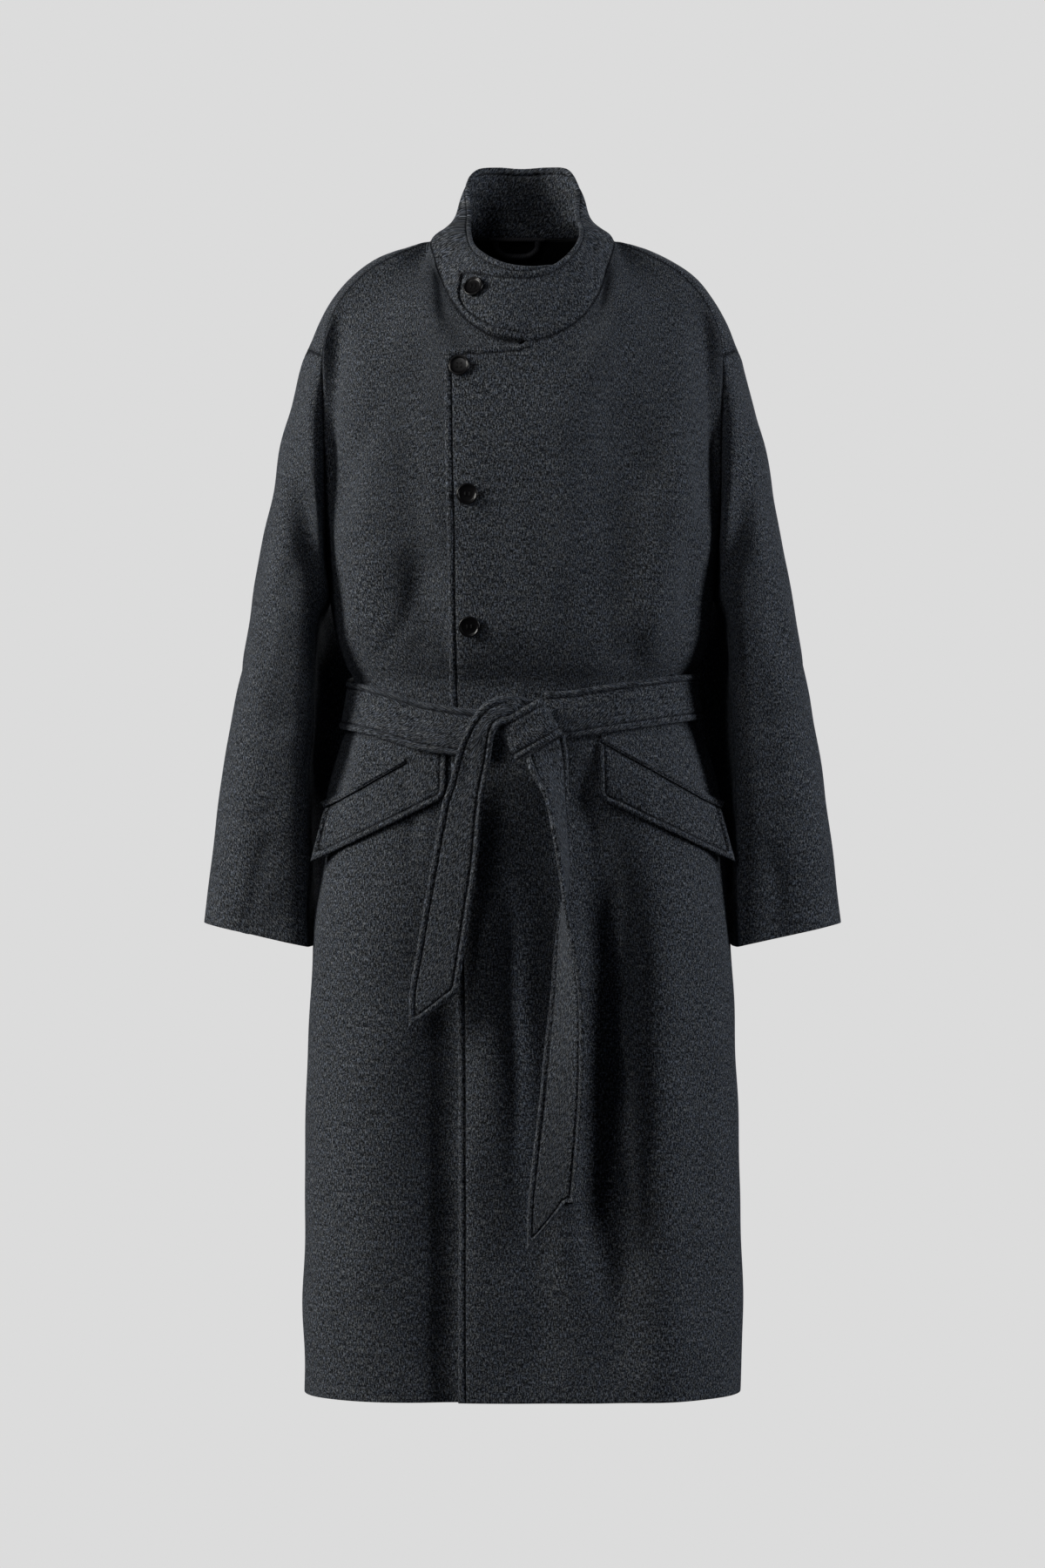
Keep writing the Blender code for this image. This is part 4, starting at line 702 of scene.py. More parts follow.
def front_grid():
    """The wearer's left front: rows from the hem up, columns from its free edge to the side."""
    past = NECK_COLUMNS + SHOULDER_COLUMNS
    rows = []
    for z in lower_heights():
        share = edge_share(z)
        lap = section_point(LAP_COLUMNS * share, z)
        rest = share_out(section_arc(LAP_EDGE * share, z), even(past))
        rows.append(np.concatenate([lap, rest[1:]]))
    guides = rows[-2:]
    for table in (CHEST, BUST, YOKE):
        share = edge_share(table[0][2])
        lap, rest = guide_columns(table, LAP_EDGE * share, past, LAP_COLUMNS * share)
        guides.append(np.concatenate([lap, rest[1:]]))
    share = edge_share(FREE_TOP[1])
    lap_x = LAP_COLUMNS * share
    neck = rounded(NECKLINE[:NECK_SIDE + 1], LONG_LINE_POINTS)
    top = np.stack([lap_x, *(np.interp(lap_x, neck[:, 0], neck[:, axis]) for axis in (1, 2))], axis=-1)
    free = np.flatnonzero(lap_x <= 0)
    top[free, 1] = FREE_TOP_FRONT + FREE_TOP_ROUND * lap_x[free] ** 2
    top[free, 2] = np.interp(-lap_x[free], [-NOTCH, LAP_EDGE], FREE_TOP)
    guides[-1][free, 1] = FREE_YOKE_FRONT + FREE_YOKE_ROUND * lap_x[free] ** 2
    guides[-1][free, 2] = YOKE[0][2]
    collar_part = neckline_part(lap_x[-1], NECK_SIDE, NECK_COLUMNS)
    seam = spaced(SHOULDER_SEAM, SHOULDER_COLUMNS)
    guides.append(np.concatenate([top, collar_part[1:], seam[1:]]))
    return np.concatenate([np.array(rows), rows_through(guides, UPPER_ROWS)])


def back_grid():
    """The back: rows from the hem up, columns from the wearer's right side to the left."""
    half_neck = BACK_NECK_COLUMNS // 2
    count = half_neck + SHOULDER_COLUMNS
    rows = [share_out(section_arc(1e-6, z, behind=True), even(count)) for z in lower_heights()]
    tables = (BACK_LOW, BACK_MID, BACK_HIGH, BACK_TOP, RIDGE)
    guides = rows[-2:] + [spaced(table, count) for table in tables]
    for guide, neck_x in zip(guides[-3:], NECK_COLUMN_X):
        dense = rounded(guide)
        cut = int(np.argmax(dense[:, 0] >= neck_x))
        guide[:half_neck + 1] = share_out(dense[:cut + 1], even(half_neck))
        guide[half_neck:] = share_out(dense[cut:], even(SHOULDER_COLUMNS))
    neck = spaced(NECKLINE[NECK_SIDE:][::-1], half_neck)
    seam = spaced(SHOULDER_SEAM, SHOULDER_COLUMNS)
    guides.append(np.concatenate([neck, seam[1:]]))
    half = np.concatenate([np.array(rows), rows_through(guides, UPPER_ROWS)])
    return np.concatenate([mirrored(half[:, ::-1]), half[:, 1:]], axis=1)


def lap_height(points):
    """How far the upper front lies out at each of its points."""
    edge = LAP_EDGE * np.array([edge_share(z) for z in points[..., 2].ravel()]).reshape(points.shape[:-1])
    past = points[..., 0] - edge
    beside_neck = smoothstep((-points[..., 1] - LAP_START[0]) / LAP_START[1])
    return LAP * beside_neck * (1 - smoothstep((past - LAP_FADE[0]) / (LAP_FADE[1] - LAP_FADE[0])))


# ---- sheets of cloth ----
def spread(line, low, high, count):
    """Points along a line at set distances from each end, and evenly in between."""
    along = lengths(line)
    total = along[-1]
    middle = np.linspace(low[-1], total - high[-1], count + 1)[1:-1]
    at = np.concatenate([low, middle, total - np.array(high)[::-1]])
    return curve(along, line, np.clip(at, 0, total))


class Sheet:
    """The outer face of a piece of cloth, with each point's distance to its four edges."""

    def __init__(self, grid, across=(PLAIN, PLAIN), up=(PLAIN, PLAIN), step=STEPS["body"], inside_out=False):
        width, height = lengths(grid, 1)[:, -1].max(), lengths(grid)[-1].max()
        counts = (max(2, int(width / step[0])), max(2, int(height / step[1])))
        rows = np.array([spread(row, *across, counts[0]) for row in grid])
        self.grid = np.stack([spread(rows[:, k], *up, counts[1]) for k in range(rows.shape[1])], axis=1)
        self.start, self.low = lengths(self.grid, 1), lengths(self.grid)
        self.end, self.high = self.start[:, -1:] - self.start, self.low[-1:] - self.low
        self.side = -1.0 if inside_out else 1.0
        self.turn_out()
        self.corner = np.full(self.grid.shape[:2], np.inf)
        self.front_from = 0.0  # share of its width past which it is what lies in front
        corners = np.cross(self.grid[1:, 1:] - self.grid[:-1, :-1], self.grid[1:, :-1] - self.grid[:-1, 1:])
        self.area = np.linalg.norm(corners, axis=2).sum() / 2

    def turn_out(self):
        """Works out the directions of the outer face."""
        self.normals = normals_of(self.grid) * self.side

    def turn_to(self, direction):
        """Makes the face that lies in a direction the outer one."""
        if (self.normals * direction).sum(-1).mean() < 0:
            self.side, self.normals = -self.side, -self.normals

    def push(self, amount):
        """Moves the cloth out along its own directions."""
        self.grid = self.grid + self.normals * amount[..., None]
        self.turn_out()

    def nearest(self, *edges):
        """Distance to the nearest of some edges, rounded where two of them meet."""
        far = np.stack([np.minimum(edge, FAR) for edge in edges])
        return np.minimum(-CORNER_ROUND * np.log(np.exp(-far / CORNER_ROUND).sum(axis=0)), self.corner)

    def round_off(self, across, up, radius):
        """Rounds the corner between two edges."""
        a, b = np.clip(radius - across, 0, None), np.clip(radius - up, 0, None)
        inside = (a > 0) & (b > 0)
        new_a, new_b = a * np.sqrt(1 - b * b / (2 * radius**2)), b * np.sqrt(1 - a * a / (2 * radius**2))
        away_a, away_b = unit(gradient_of(self.grid, across)), unit(gradient_of(self.grid, up))
        move = away_a * (a - new_a)[..., None] + away_b * (b - new_b)[..., None]
        self.grid = self.grid + np.where(inside[..., None], move, 0)
        self.corner = np.where(inside, np.maximum(radius - np.hypot(new_a, new_b), 0), np.inf)
        self.turn_out()


def gradient_of(grid, distance):
    """The direction over a grid in which a distance grows."""
    up, across = np.gradient(grid, axis=0), np.gradient(grid, axis=1)
    rise, run = np.gradient(distance, axis=0), np.gradient(distance, axis=1)
    return up * rise[..., None] / (up**2).sum(-1, keepdims=True) + across * run[..., None] / (
        (across**2).sum(-1, keepdims=True))


def stitched(distance, line=STITCH_LINE):
    """The groove of a row of stitches, and the swelling outside it."""
    groove = -GROOVE_DEPTH * np.exp(-(((distance - line) / GROOVE_REACH) ** 2))
    return groove + EDGE_PUFF * np.sin(math.pi * np.clip(distance / line, 0, 1)) ** 2


def sewn(distance):
    """How far cloth dives into a seam."""
    return -SEAM_DIP * np.exp(-np.maximum(distance, 0) / SEAM_REACH)


def waver(points, size, height, seed):
    """A smooth unevenness, the same each time for the same seed."""
    rng = np.random.default_rng(seed)
    total = np.zeros(points.shape[:-1])
    for _ in range(9):
        direction = rng.normal(size=3)
        direction *= 2 * math.pi / (size * rng.uniform(0.6, 1.7) * np.linalg.norm(direction))
        total += np.sin(points @ direction + rng.uniform(0, 2 * math.pi))
    return height * total / 3


def crease(points, line, breadth, height, view=(0, 2)):
    """A soft trough or ridge along a line given in two of the axes, fading out towards both ends."""
    dense = rounded(line, CREASE_POINTS)
    flat = points[..., list(view)]
    away = np.linalg.norm(flat.reshape(-1, 1, 2) - dense[None], axis=2)
    nearest = away.argmin(axis=1)
    fade = np.sin(math.pi * (nearest + 0.5) / CREASE_POINTS) ** 0.7
    return (height * fade * np.exp(-((away.min(axis=1) / breadth) ** 2))).reshape(points.shape[:-1])


def creased(height, points, creases, facing=1.0):
    """A height with creases added to it."""
    for line, breadth, rise in creases:
        height = height + facing * crease(points, line, breadth, rise)
    return height


def deselect():
    for other in bpy.context.view_layer.objects:
        other.select_set(False)


def added(name, operator, **settings):
    """What one of Blender's own operators adds to the scene, under a name."""
    deselect()
    operator(**settings)
    bpy.context.object.name = name
    return bpy.context.object


def active(piece):
    deselect()
    piece.select_set(True)
    bpy.context.view_layer.objects.active = piece
    return piece


def in_edit_mode(piece, work):
    """Does some work on all of a piece in edit mode."""
    active(piece)
    bpy.ops.object.mode_set(mode="EDIT")
    bpy.ops.mesh.select_all(action="SELECT")
    work()
    bpy.ops.object.mode_set(mode="OBJECT")
    return piece


def close_up():
    """Joins what lies together and turns every face outwards."""
    bpy.ops.mesh.remove_doubles(threshold=MERGE)
    bpy.ops.mesh.normals_make_consistent(inside=False)


def lay_grid(name, grid, uv, materials, lined=None, painted_seam_shade=None):
    """A primitive grid laid onto a grid of points. Faces whose four corners are lined get the second
    material, and each point carries its share of the painted seam shade that darkens the wool."""
    rows, columns = grid.shape[:2]
    piece = added(name, bpy.ops.mesh.primitive_grid_add, x_subdivisions=columns - 1,
                  y_subdivisions=rows - 1, size=1, calc_uvs=True)
    data = piece.data
    data.name = name
    flat = np.empty(len(data.vertices) * 3)
    data.vertices.foreach_get("co", flat)
    flat = flat.reshape(-1, 3)
    column = np.rint((flat[:, 0] + 0.5) * (columns - 1)).astype(int)
    row = np.rint((flat[:, 1] + 0.5) * (rows - 1)).astype(int)
    data.vertices.foreach_set("co", (grid[row, column] * METRES).ravel())
    corner = np.empty(len(data.loops), dtype=int)
    data.loops.foreach_get("vertex_index", corner)
    data.uv_layers[0].data.foreach_set("uv", (uv[row, column][corner] * METRES).ravel())
    for material in materials:
        data.materials.append(material)
    if lined is not None:
        all_lined = lined[row, column][corner].reshape(-1, 4).all(axis=1)
        data.polygons.foreach_set("material_index", all_lined.astype(int))
    # Painted seam shade: a point attribute by which the wool's colour is darkened in seams and stitch grooves
    if painted_seam_shade is not None:
        shade_attribute = data.attributes.new("painted_seam_shade", "FLOAT", "POINT")
        shade_attribute.data.foreach_set("value", painted_seam_shade[row, column])
    data.shade_smooth()
    return piece


def ridden(piece, slot, *nodes):
    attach(piece, "root")
    if nodes:
        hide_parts(*nodes)
    return piece


def cloth_piece(node, sheet, detail, thickness=CLOTH, lined=None, upright=False):
    """A finished piece of cloth: an outer and an inner face that meet in rounded edges. The inner is partly
    lined, or else shows the same sewing as the outer."""
    both = lined is None
    distance = np.minimum.reduce([sheet.start, sheet.end, sheet.low, sheet.high, sheet.corner])
    inset = np.clip(distance / (thickness / 2), 0, 1)
    half = thickness / 2 * np.sqrt(1 - (1 - inset) ** 2)
    middle = sheet.grid - sheet.normals * thickness / 2
    outer = middle + sheet.normals * (half + detail * inset)[..., None]
    inner = middle - sheet.normals * (half + detail * inset * both)[..., None]
    sheet.outer = outer
    sheet.faces = normals_of(outer) * sheet.side
    grid = np.concatenate([outer, inner[:, -2::-1]], axis=1)
    uv = np.stack([sheet.start, sheet.low], axis=-1)
    if upright:
        ahead = sheet.grid[..., 1].mean() - sheet.grid[..., 1]
        round_all = np.unwrap(np.arctan2(sheet.grid[..., 0], ahead), axis=1)
        uv = np.stack([round_all * NECK_RADIUS, sheet.grid[..., 2]], axis=-1)
    back = uv[:, -2::-1].copy()
    back[..., 0] = 2 * uv[:, -1:, 0] - back[..., 0]
    uv = np.concatenate([uv, back], axis=1) + CUT_FROM[node]
    materials = [material("wool")]
    if lined is not None:
        materials.append(material("lining"))
        lined = np.concatenate([np.zeros_like(lined), lined[:, -2::-1]], axis=1)
    # Painted shade for seams and stitch grooves: 0 to 1 with how deep the cloth dives, on the inner face only
    # where it is unlined
    painted_seam_shade = np.clip(-detail / SEAM_DIP, 0, 1) * np.ones_like(distance)
    painted_seam_shade = np.concatenate([painted_seam_shade, painted_seam_shade[:, -2::-1] * both], axis=1)
    piece = lay_grid(f"{node}_cloth", grid, uv, materials, lined, painted_seam_shade)
    in_edit_mode(piece, close_up)
    return ridden(piece, "wool", node)


def tube_piece(name, path, halves, sides, power, surface, ahead=(0.0, -1.0, 0.0)):
    """A round or flattened bar along a path, closed at both ends."""
    forward = unit(np.gradient(path, axis=0))
    depth = np.array(ahead) * np.ones_like(path)
    depth = unit(depth - forward * (depth * forward).sum(-1, keepdims=True))
    breadth = unit(np.cross(forward, depth))
    turn = np.linspace(0, 2 * math.pi, sides + 1)
    reach = squared(turn, power)
    out = breadth[:, None] * (np.cos(turn) * reach)[None, :, None] * halves[:, None, :1]
    out = out + depth[:, None] * (np.sin(turn) * reach)[None, :, None] * halves[:, None, 1:]
    grid = path[:, None] + out
    caps = [path[:1, None] + out[:1] * share for share in CAP_SHARES]
    ends = [path[-1:, None] + out[-1:] * share for share in CAP_SHARES[::-1]]
    grid = np.concatenate([*caps, grid, *ends])
    around = lengths(grid[len(grid) // 2])
    along = lengths(grid.mean(axis=1))
    uv = np.stack(np.broadcast_arrays(around[None], along[:, None]), axis=-1)
    return in_edit_mode(lay_grid(name, grid, uv, [surface]), close_up)


def stitching(name, runs, thread, size=STITCH_SIZE):
    """Rows of stitches: one short thread, copied along each run of points with its directions."""
    piece = added(name, bpy.ops.mesh.primitive_uv_sphere_add, segments=6, ring_count=4, radius=0.5)
    data = piece.data
    data.name = name
    form = np.array([v.co[:] for v in data.vertices]) * np.array(size)
    faces = [tuple(p.vertices) for p in data.polygons]
    points, polygons = [], []
    for line, directions in runs:
        along = lengths(line)
        count = max(1, int(along[-1] / STITCH_PITCH))
        at = (np.arange(count) + 0.5) * along[-1] / count
        here, before, after = (points_at(line, along, at + d) for d in (0, -1.0, 1.0))
        up, forward = unit(points_at(directions, along, at)), unit(after - before)
        across = unit(np.cross(up, forward))
        for place, *axes in zip(here + up * STITCH_RISE, forward, across, up):
            base = len(points) * len(form)
            points.append(place + sum(form[:, k:k + 1] * axis for k, axis in enumerate(axes)))
            polygons.extend(tuple(v + base for v in face) for face in faces)
    data.clear_geometry()
    data.from_pydata((np.concatenate(points) * METRES).tolist(), [], polygons)
    data.shade_smooth()
    data.materials.append(thread)
    return ridden(piece, "wool")


# ---- materials ----
def linear(hex_colour):
    """An sRGB hex colour as the linear colour that the shader works in."""
    channels = (int(hex_colour[i:i + 2], 16) / 255 for i in (1, 3, 5))
    return (*(c / 12.92 if c <= 0.04045 else ((c + 0.055) / 1.055) ** 2.4 for c in channels), 1.0)


def add(tree, kind, values=None, links=None, **settings):
    """A node with its settings, its sockets' values and what is plugged into them."""
    made = tree.nodes.new("ShaderNode" + kind)
    for key, value in settings.items():
        setattr(made, key, value)
    for socket, value in (values or {}).items():
        made.inputs[socket].default_value = value
    for socket, source in (links or {}).items():
        tree.links.new(source, made.inputs[socket])
    return made


def started(name, **values):
    """A new material and its shader, with the shader's plain values set."""
    made = bpy.data.materials.new(name)
    made.use_nodes = True
    shader = made.node_tree.nodes["Principled BSDF"]
    for socket, value in values.items():
        shader.inputs[socket.replace("_", " ")].default_value = value
    return made, made.node_tree, shader


def ramp(tree, source, stops):
    made = add(tree, "ValToRGB", links={"Fac": source})
    made.color_ramp.elements.remove(made.color_ramp.elements[1])
    for index, (at, colour) in enumerate(stops):
        stop = made.color_ramp.elements[0] if index == 0 else made.color_ramp.elements.new(at)
        stop.position, stop.color = at, (*colour[:3], 1.0)
    return made.outputs["Color"]


def multiplied(tree, colour, by, factor=1.0):
    both = {"A": colour, "B": by}
    return add(tree, "Mix", {"Factor": factor}, both, data_type="RGBA", blend_type="MULTIPLY").outputs[2]


def per_mm(*sizes):
    """Scale that makes a pattern of 1 repeat at these sizes in mm, from coordinates in metres."""
    return tuple(1 / (size * METRES) for size in sizes)


def grains(tree, coordinates, sizes, detail=2.0, rough=0.5, distortion=0.0):
    """Noise whose grains have these sizes in mm."""
    place = add(tree, "Mapping", {"Scale": per_mm(*sizes)}, {"Vector": coordinates}).outputs[0]
    noise = {"Scale": 1.0, "Detail": detail, "Roughness": rough, "Distortion": distortion}
    return add(tree, "TexNoise", noise, {"Vector": place}).outputs["Fac"]


def finish(tree, shader, colour, height, strength, distance):
    """Plugs in a material's colour and its fine relief."""
    tree.links.new(colour, shader.inputs["Base Color"])
    bump = add(tree, "Bump", {"Strength": strength, "Distance": distance}, {"Height": height})
    tree.links.new(bump.outputs[0], shader.inputs["Normal"])


def brushed_wool():
    """Melange wool, milled and brushed: dark and pale fibres spun together, so it is speckled close to, slate
    grey from afar, quite matt, and pale at a glancing look where the raised fibres catch the light."""
    cloth = bpy.context.scene.coat_cloth
    made, tree, shader = started(
        "wool_melange_brushed", Roughness=0.88, Specular_IOR_Level=0.25, Sheen_Weight=cloth.sheen,
        Sheen_Roughness=0.45, Sheen_Tint=linear("#aab2c0"),
    )
    place = add(tree, "UVMap").outputs["UV"]
    grain = cloth.grain / METRES
    speckle = grains(tree, place, (grain, grain * 1.5, 1.0), 3.0, 0.85)
    fibres = grains(tree, place, (grain * 0.5, grain * 4.0, 1.0), 1.0)
    clouds = grains(tree, place, (26.0, 60.0, 1.0))
    both = add(tree, "Mix", {"Factor": 0.3}, {"A": speckle, "B": fibres})
    tone = add(tree, "Mix", {"Factor": 0.02}, {"A": both.outputs[0], "B": clouds})
    dark, pale = np.array(cloth.dark), np.array(cloth.pale)
    colour = ramp(tree, tone.outputs[0], [
        (0.44, dark), (0.50, dark * 0.84 + pale * 0.16), (0.54, dark * 0.6 + pale * 0.4), (0.58, pale * 1.1),
    ])
    hue = grains(tree, place, (4.0, 6.0, 1.0), 1.0, 0.6)
    hue = ramp(tree, hue, [(0.38, linear("#f6f4ee")), (0.62, linear("#c9d6ec"))])
    tinted = multiplied(tree, colour, hue, 0.6)
    # Painted shade: the wool is darkened in seams and under stitches, where the cloth dives in and shadow falls
    shade_attribute = add(tree, "Attribute", attribute_name="painted_seam_shade")
    seam_shade_tint = ramp(tree, shade_attribute.outputs["Fac"], [(0.15, (1.0, 1.0, 1.0)), (0.8, (0.16, 0.16, 0.18))])
    finish(tree, shader, multiplied(tree, tinted, seam_shade_tint), fibres, 0.2, 0.0003)
    return made


def woven_lining(name="viscose_twill_lining", dark="#0b0b0d", pale="#151518"):
    """Viscose twill lining, woven smooth and calendered: nearly black, with faint slanted lines, soft gloss."""
    made, tree, shader = started(
        name, Roughness=0.48, Specular_IOR_Level=0.4, Sheen_Weight=0.1, Sheen_Roughness=0.3,
    )
    place = add(tree, "UVMap").outputs["UV"]
    # The twill's lines are 0.4 mm apart on real lining, and are drawn at 1.2 mm so that they show
    slanted = {"Scale": per_mm(1.2, 1.2, 1.0), "Rotation": (0, 0, math.radians(60))}
    place = add(tree, "Mapping", slanted, {"Vector": place}).outputs[0]
    lines = add(tree, "TexWave", {"Scale": 0.16, "Distortion": 0.6, "Detail": 1.0}, {"Vector": place})
    colour = ramp(tree, lines.outputs["Fac"], [(0.2, linear(dark)), (0.8, linear(pale))])
    finish(tree, shader, colour, lines.outputs["Fac"], 0.25, 0.0002)
    return made


def cast_button():
    """Polyester resin, cast and tumble polished to look like dark horn: near black with faint brown clouds
    and a soft shine that shows the rim."""
    trim = bpy.context.scene.coat_trim
    body = np.array(trim.button_colour)
    made, tree, shader = started(
        "polyester_button_polished", Roughness=trim.button_roughness, IOR=1.55, Coat_Weight=0.25,
        Coat_Roughness=0.2,
    )
    place = add(tree, "TexCoord").outputs["Object"]
    cloud = grains(tree, place, (7.0, 7.0, 2.5), 3.0, distortion=1.5)
    brown = body + np.array(linear("#141009")[:3])
    finish(tree, shader, ramp(tree, cloud, [(0.3, body * 0.6), (0.6, body), (0.8, brown)]), cloud, 0.1, 0.0002)
    return made


def sewing_thread(name, base):
    """Corespun polyester thread, twisted and waxed: a shade darker than the wool, with a slight gloss."""
    made, tree, shader = started(name, Roughness=0.6, Sheen_Weight=0.15)
    place = add(tree, "TexCoord").outputs["Object"]
    twist = grains(tree, place, (1.2, 1.2, 1.2), 1.0)
    colour = ramp(tree, twist, [(0.3, np.array(base) * 0.7), (0.7, np.array(base) * 1.4)])
    tree.links.new(colour, shader.inputs["Base Color"])
    return made


def lit_backdrop():
    """Seamless paper, evenly lit: a flat pale grey from floor to wall."""
    paper = (*bpy.context.scene.coat_stage.paper, 1)
    made, _, _ = started(
        "paper_backdrop", Roughness=1.0, Specular_IOR_Level=0.0, Base_Color=(0, 0, 0, 1), Emission_Color=paper,
        Emission_Strength=1.0,
    )
    return made


MATERIALS = {}


def material(name):
    """Makes each material the first time that it is asked for."""
    makers = {
        "wool": brushed_wool,
        "lining": woven_lining,
        "loop": lambda: woven_lining("viscose_twill_loop", "#46464a", "#5e5e64"),
        "button": cast_button,
        "paper": lit_backdrop,
        "thread": lambda: sewing_thread("polyester_thread", bpy.context.scene.coat_trim.thread_colour),
        "button_thread": lambda: sewing_thread("button_thread", linear("#121215")[:3]),
    }
    if name not in MATERIALS:
        MATERIALS[name] = makers[name]()
    return MATERIALS[name]


# ---- the coat's pieces ----
sheets = {}  # the laid sheets, for the pieces that lie on them
coarse = {}  # the body's own grids, in the frame's order of columns


def edge_of(values, edge):
    return {"start": values[:, 0], "end": values[:, -1], "low": values[0], "high": values[-1]}[edge]


def share_seam(name, edge, others):
    """Turns a sheet's directions at an edge half way to those of what it is sewn to, so that no gap is left."""
    first = sheets[name]
    points, directions = edge_of(first.grid, edge), edge_of(first.plain, edge)
    there = np.concatenate([edge_of(sheets[other].grid, side) for other, side in others])
    turned_to = np.concatenate([edge_of(sheets[other].plain, side) for other, side in others])
    away = np.linalg.norm(points[:, None] - there[None], axis=2)
    share = 1 - smoothstep((away.min(axis=1) - SEAM_MEETS) / SEAM_PARTS)
    middle = unit(directions + turned_to[away.argmin(axis=1)] * share[:, None])
    middle = middle[:, None] if edge in ("start", "end") else middle[None]
    hold = (1 - smoothstep(getattr(first, edge) / SEAM_TURN))[..., None]
    first.normals = unit(first.normals * (1 - hold) + middle * hold)


def lay_on_seam(sheet):
    """Moves the collar's low edge exactly onto the fronts and the back."""
    edges = (sheets[name].grid[-1] for name in ("left", "right", "back"))
    there = np.concatenate([share_out(edge, even(EDGE_POINTS)) for edge in edges])
    points = sheet.grid[0]
    away = np.linalg.norm(points[:, None] - there[None], axis=2)
    move = there[away.argmin(axis=1)] - points
    move[away.min(axis=1) > SEAM_MEETS] = 0
    sheet.grid = sheet.grid + move[None] * (1 - smoothstep(sheet.low / SEAM_LEAD))[..., None]


def cut_cloth():
    """Lays out the sheets of the body, the sleeves and the collar, and joins them at their seams."""
    body()
    sleeve_sheets("left")
    sleeve_sheets("right")
    collar_sheet()
    for sheet in sheets.values():
        sheet.turn_out()
        sheet.plain = sheet.normals
    for name, edge, others in SEAMS:
        share_seam(name, edge, others)


def body_creases(points):
    """The body's smaller creases, in front and behind."""
    total = np.zeros(points.shape[:-1])
    for side, creases in (("front", FRONT_CREASES), ("back", BACK_CREASES)):
        total = creased(total, points, creases, towards(points, side, CREASE_FADE))
    return total


def under_belt(points):
    """How far the belt presses the body in."""
    x, y, z = points[..., 0], points[..., 1], points[..., 2]
    front = np.where(x < 0, belt_middle(x, True), belt_middle(x, False))
    in_front = smoothstep((BELT_TURN[0] - y) / BELT_TURN[1])
    middle = front * in_front + BELT_BACK * (1 - in_front)
    return -BELT_PRESS * np.exp(-(((z - middle) / (BELT_WIDTH * BELT_PRESS_REACH)) ** 4))


def settle(sheet, *held):
    """Gives a body sheet its creases, apart from where seams hold it still."""
    above = smoothstep((sheet.grid[..., 2] - UNDERARM + ARMHOLE_LEAD) / ARMHOLE_LEAD)
    still = [sheet.high, *(edge + LOOSE * (1 - above) for edge in held)]
    height = body_creases(sheet.grid) + under_belt(sheet.grid) + waver(sheet.grid, *WAVERS["body"])
    sheet.push(height * smoothstep(np.minimum.reduce(still) / SEAM_HOLD))


def body():
    """Both fronts and the back, as sheets with their creases."""
    base = front_grid()
    left = folded(base)
    left += normals_of(left) * lap_height(base)[..., None]
    right = folded(mirrored(base))[:, ::-1]
    back = folded(back_grid())[:, ::-1]
    coarse.update(left=left, right=right, back=back)
    sheets["left"] = Sheet(left, (STITCHED, PLAIN), (PLAIN, STITCHED))
    sheets["right"] = Sheet(right, (PLAIN, PLAIN), (PLAIN, STITCHED))
    sheets["back"] = Sheet(back, (PLAIN, PLAIN), (PLAIN, STITCHED))
    left, right, back = (sheets[name] for name in ("left", "right", "back"))
    settle(left, left.end)
    settle(right, right.start)
    right.push(crease(right.grid, *UNDER_LAP) * (right.grid[..., 1] < 0))
    settle(back, back.start, back.end)


def top_shares(sheet):
    """For each column, how far it ends in a free top edge, and how far in the shoulder seam."""
    x = np.abs(sheet.grid[-1, :, 0])
    inner = sheet.grid[-1, :, 0] * (1 if sheet is sheets["left"] else -1)
    free = smoothstep((NOTCH - inner) / TOP_FADES[0] + 0.5)
    return free, smoothstep((x - NECKLINE[NECK_SIDE][0]) / TOP_FADES[1])


def make_front(side):
    """One front, with its stitched edges, and its seams at the neck, shoulder, armhole and side."""
    sheet = sheets[side]
    free_edge, outer = (sheet.start, sheet.end) if side == "left" else (sheet.end, sheet.start)
    free, _ = top_shares(sheet)
    detail = sewn(outer) + (1 - free) * sewn(sheet.high)
    reach = sheet.nearest(free_edge, sheet.high + FAR * (1 - free))
    detail = detail + stitched(reach)
    if side == "left":
        x, z = sheet.grid[..., 0], sheet.grid[..., 2]
        for _, button_x, button_z in BUTTONS[1:]:
            slit = np.abs(x - button_x - SLIT_FROM - SLIT_LENGTH / 2) / (SLIT_LENGTH / 2 + SLIT_SOFT[0])
            detail = detail - SLIT_DIP * np.exp(-slit**6 - ((z - button_z) / SLIT_SOFT[1]) ** 2)
    lined = (sheet.low > HEM_TURN_UP) & (free_edge > FACING)
    cloth_piece(f"front_{side}", sheet, detail, lined=lined)


def make_back():
    sheet = sheets["back"]
    _, shoulder = top_shares(sheet)
    detail = sewn(sheet.start) + sewn(sheet.end) + sewn(sheet.high) + shoulder * stitched(sheet.high)
    cloth_piece("back", sheet, detail, lined=sheet.low > HEM_TURN_UP)


def armhole(side):
    """The loop of an armhole, from the underarm up the front, over the shoulder and down the back."""
    front, back = coarse[side], coarse["back"]
    left = side == "left"
    up = front[LOW_ROWS - 1:, -1 if left else 0]
    down = back[:LOW_ROWS - 2:-1, 0 if left else -1]
    return np.concatenate([up, down[1:-1]])


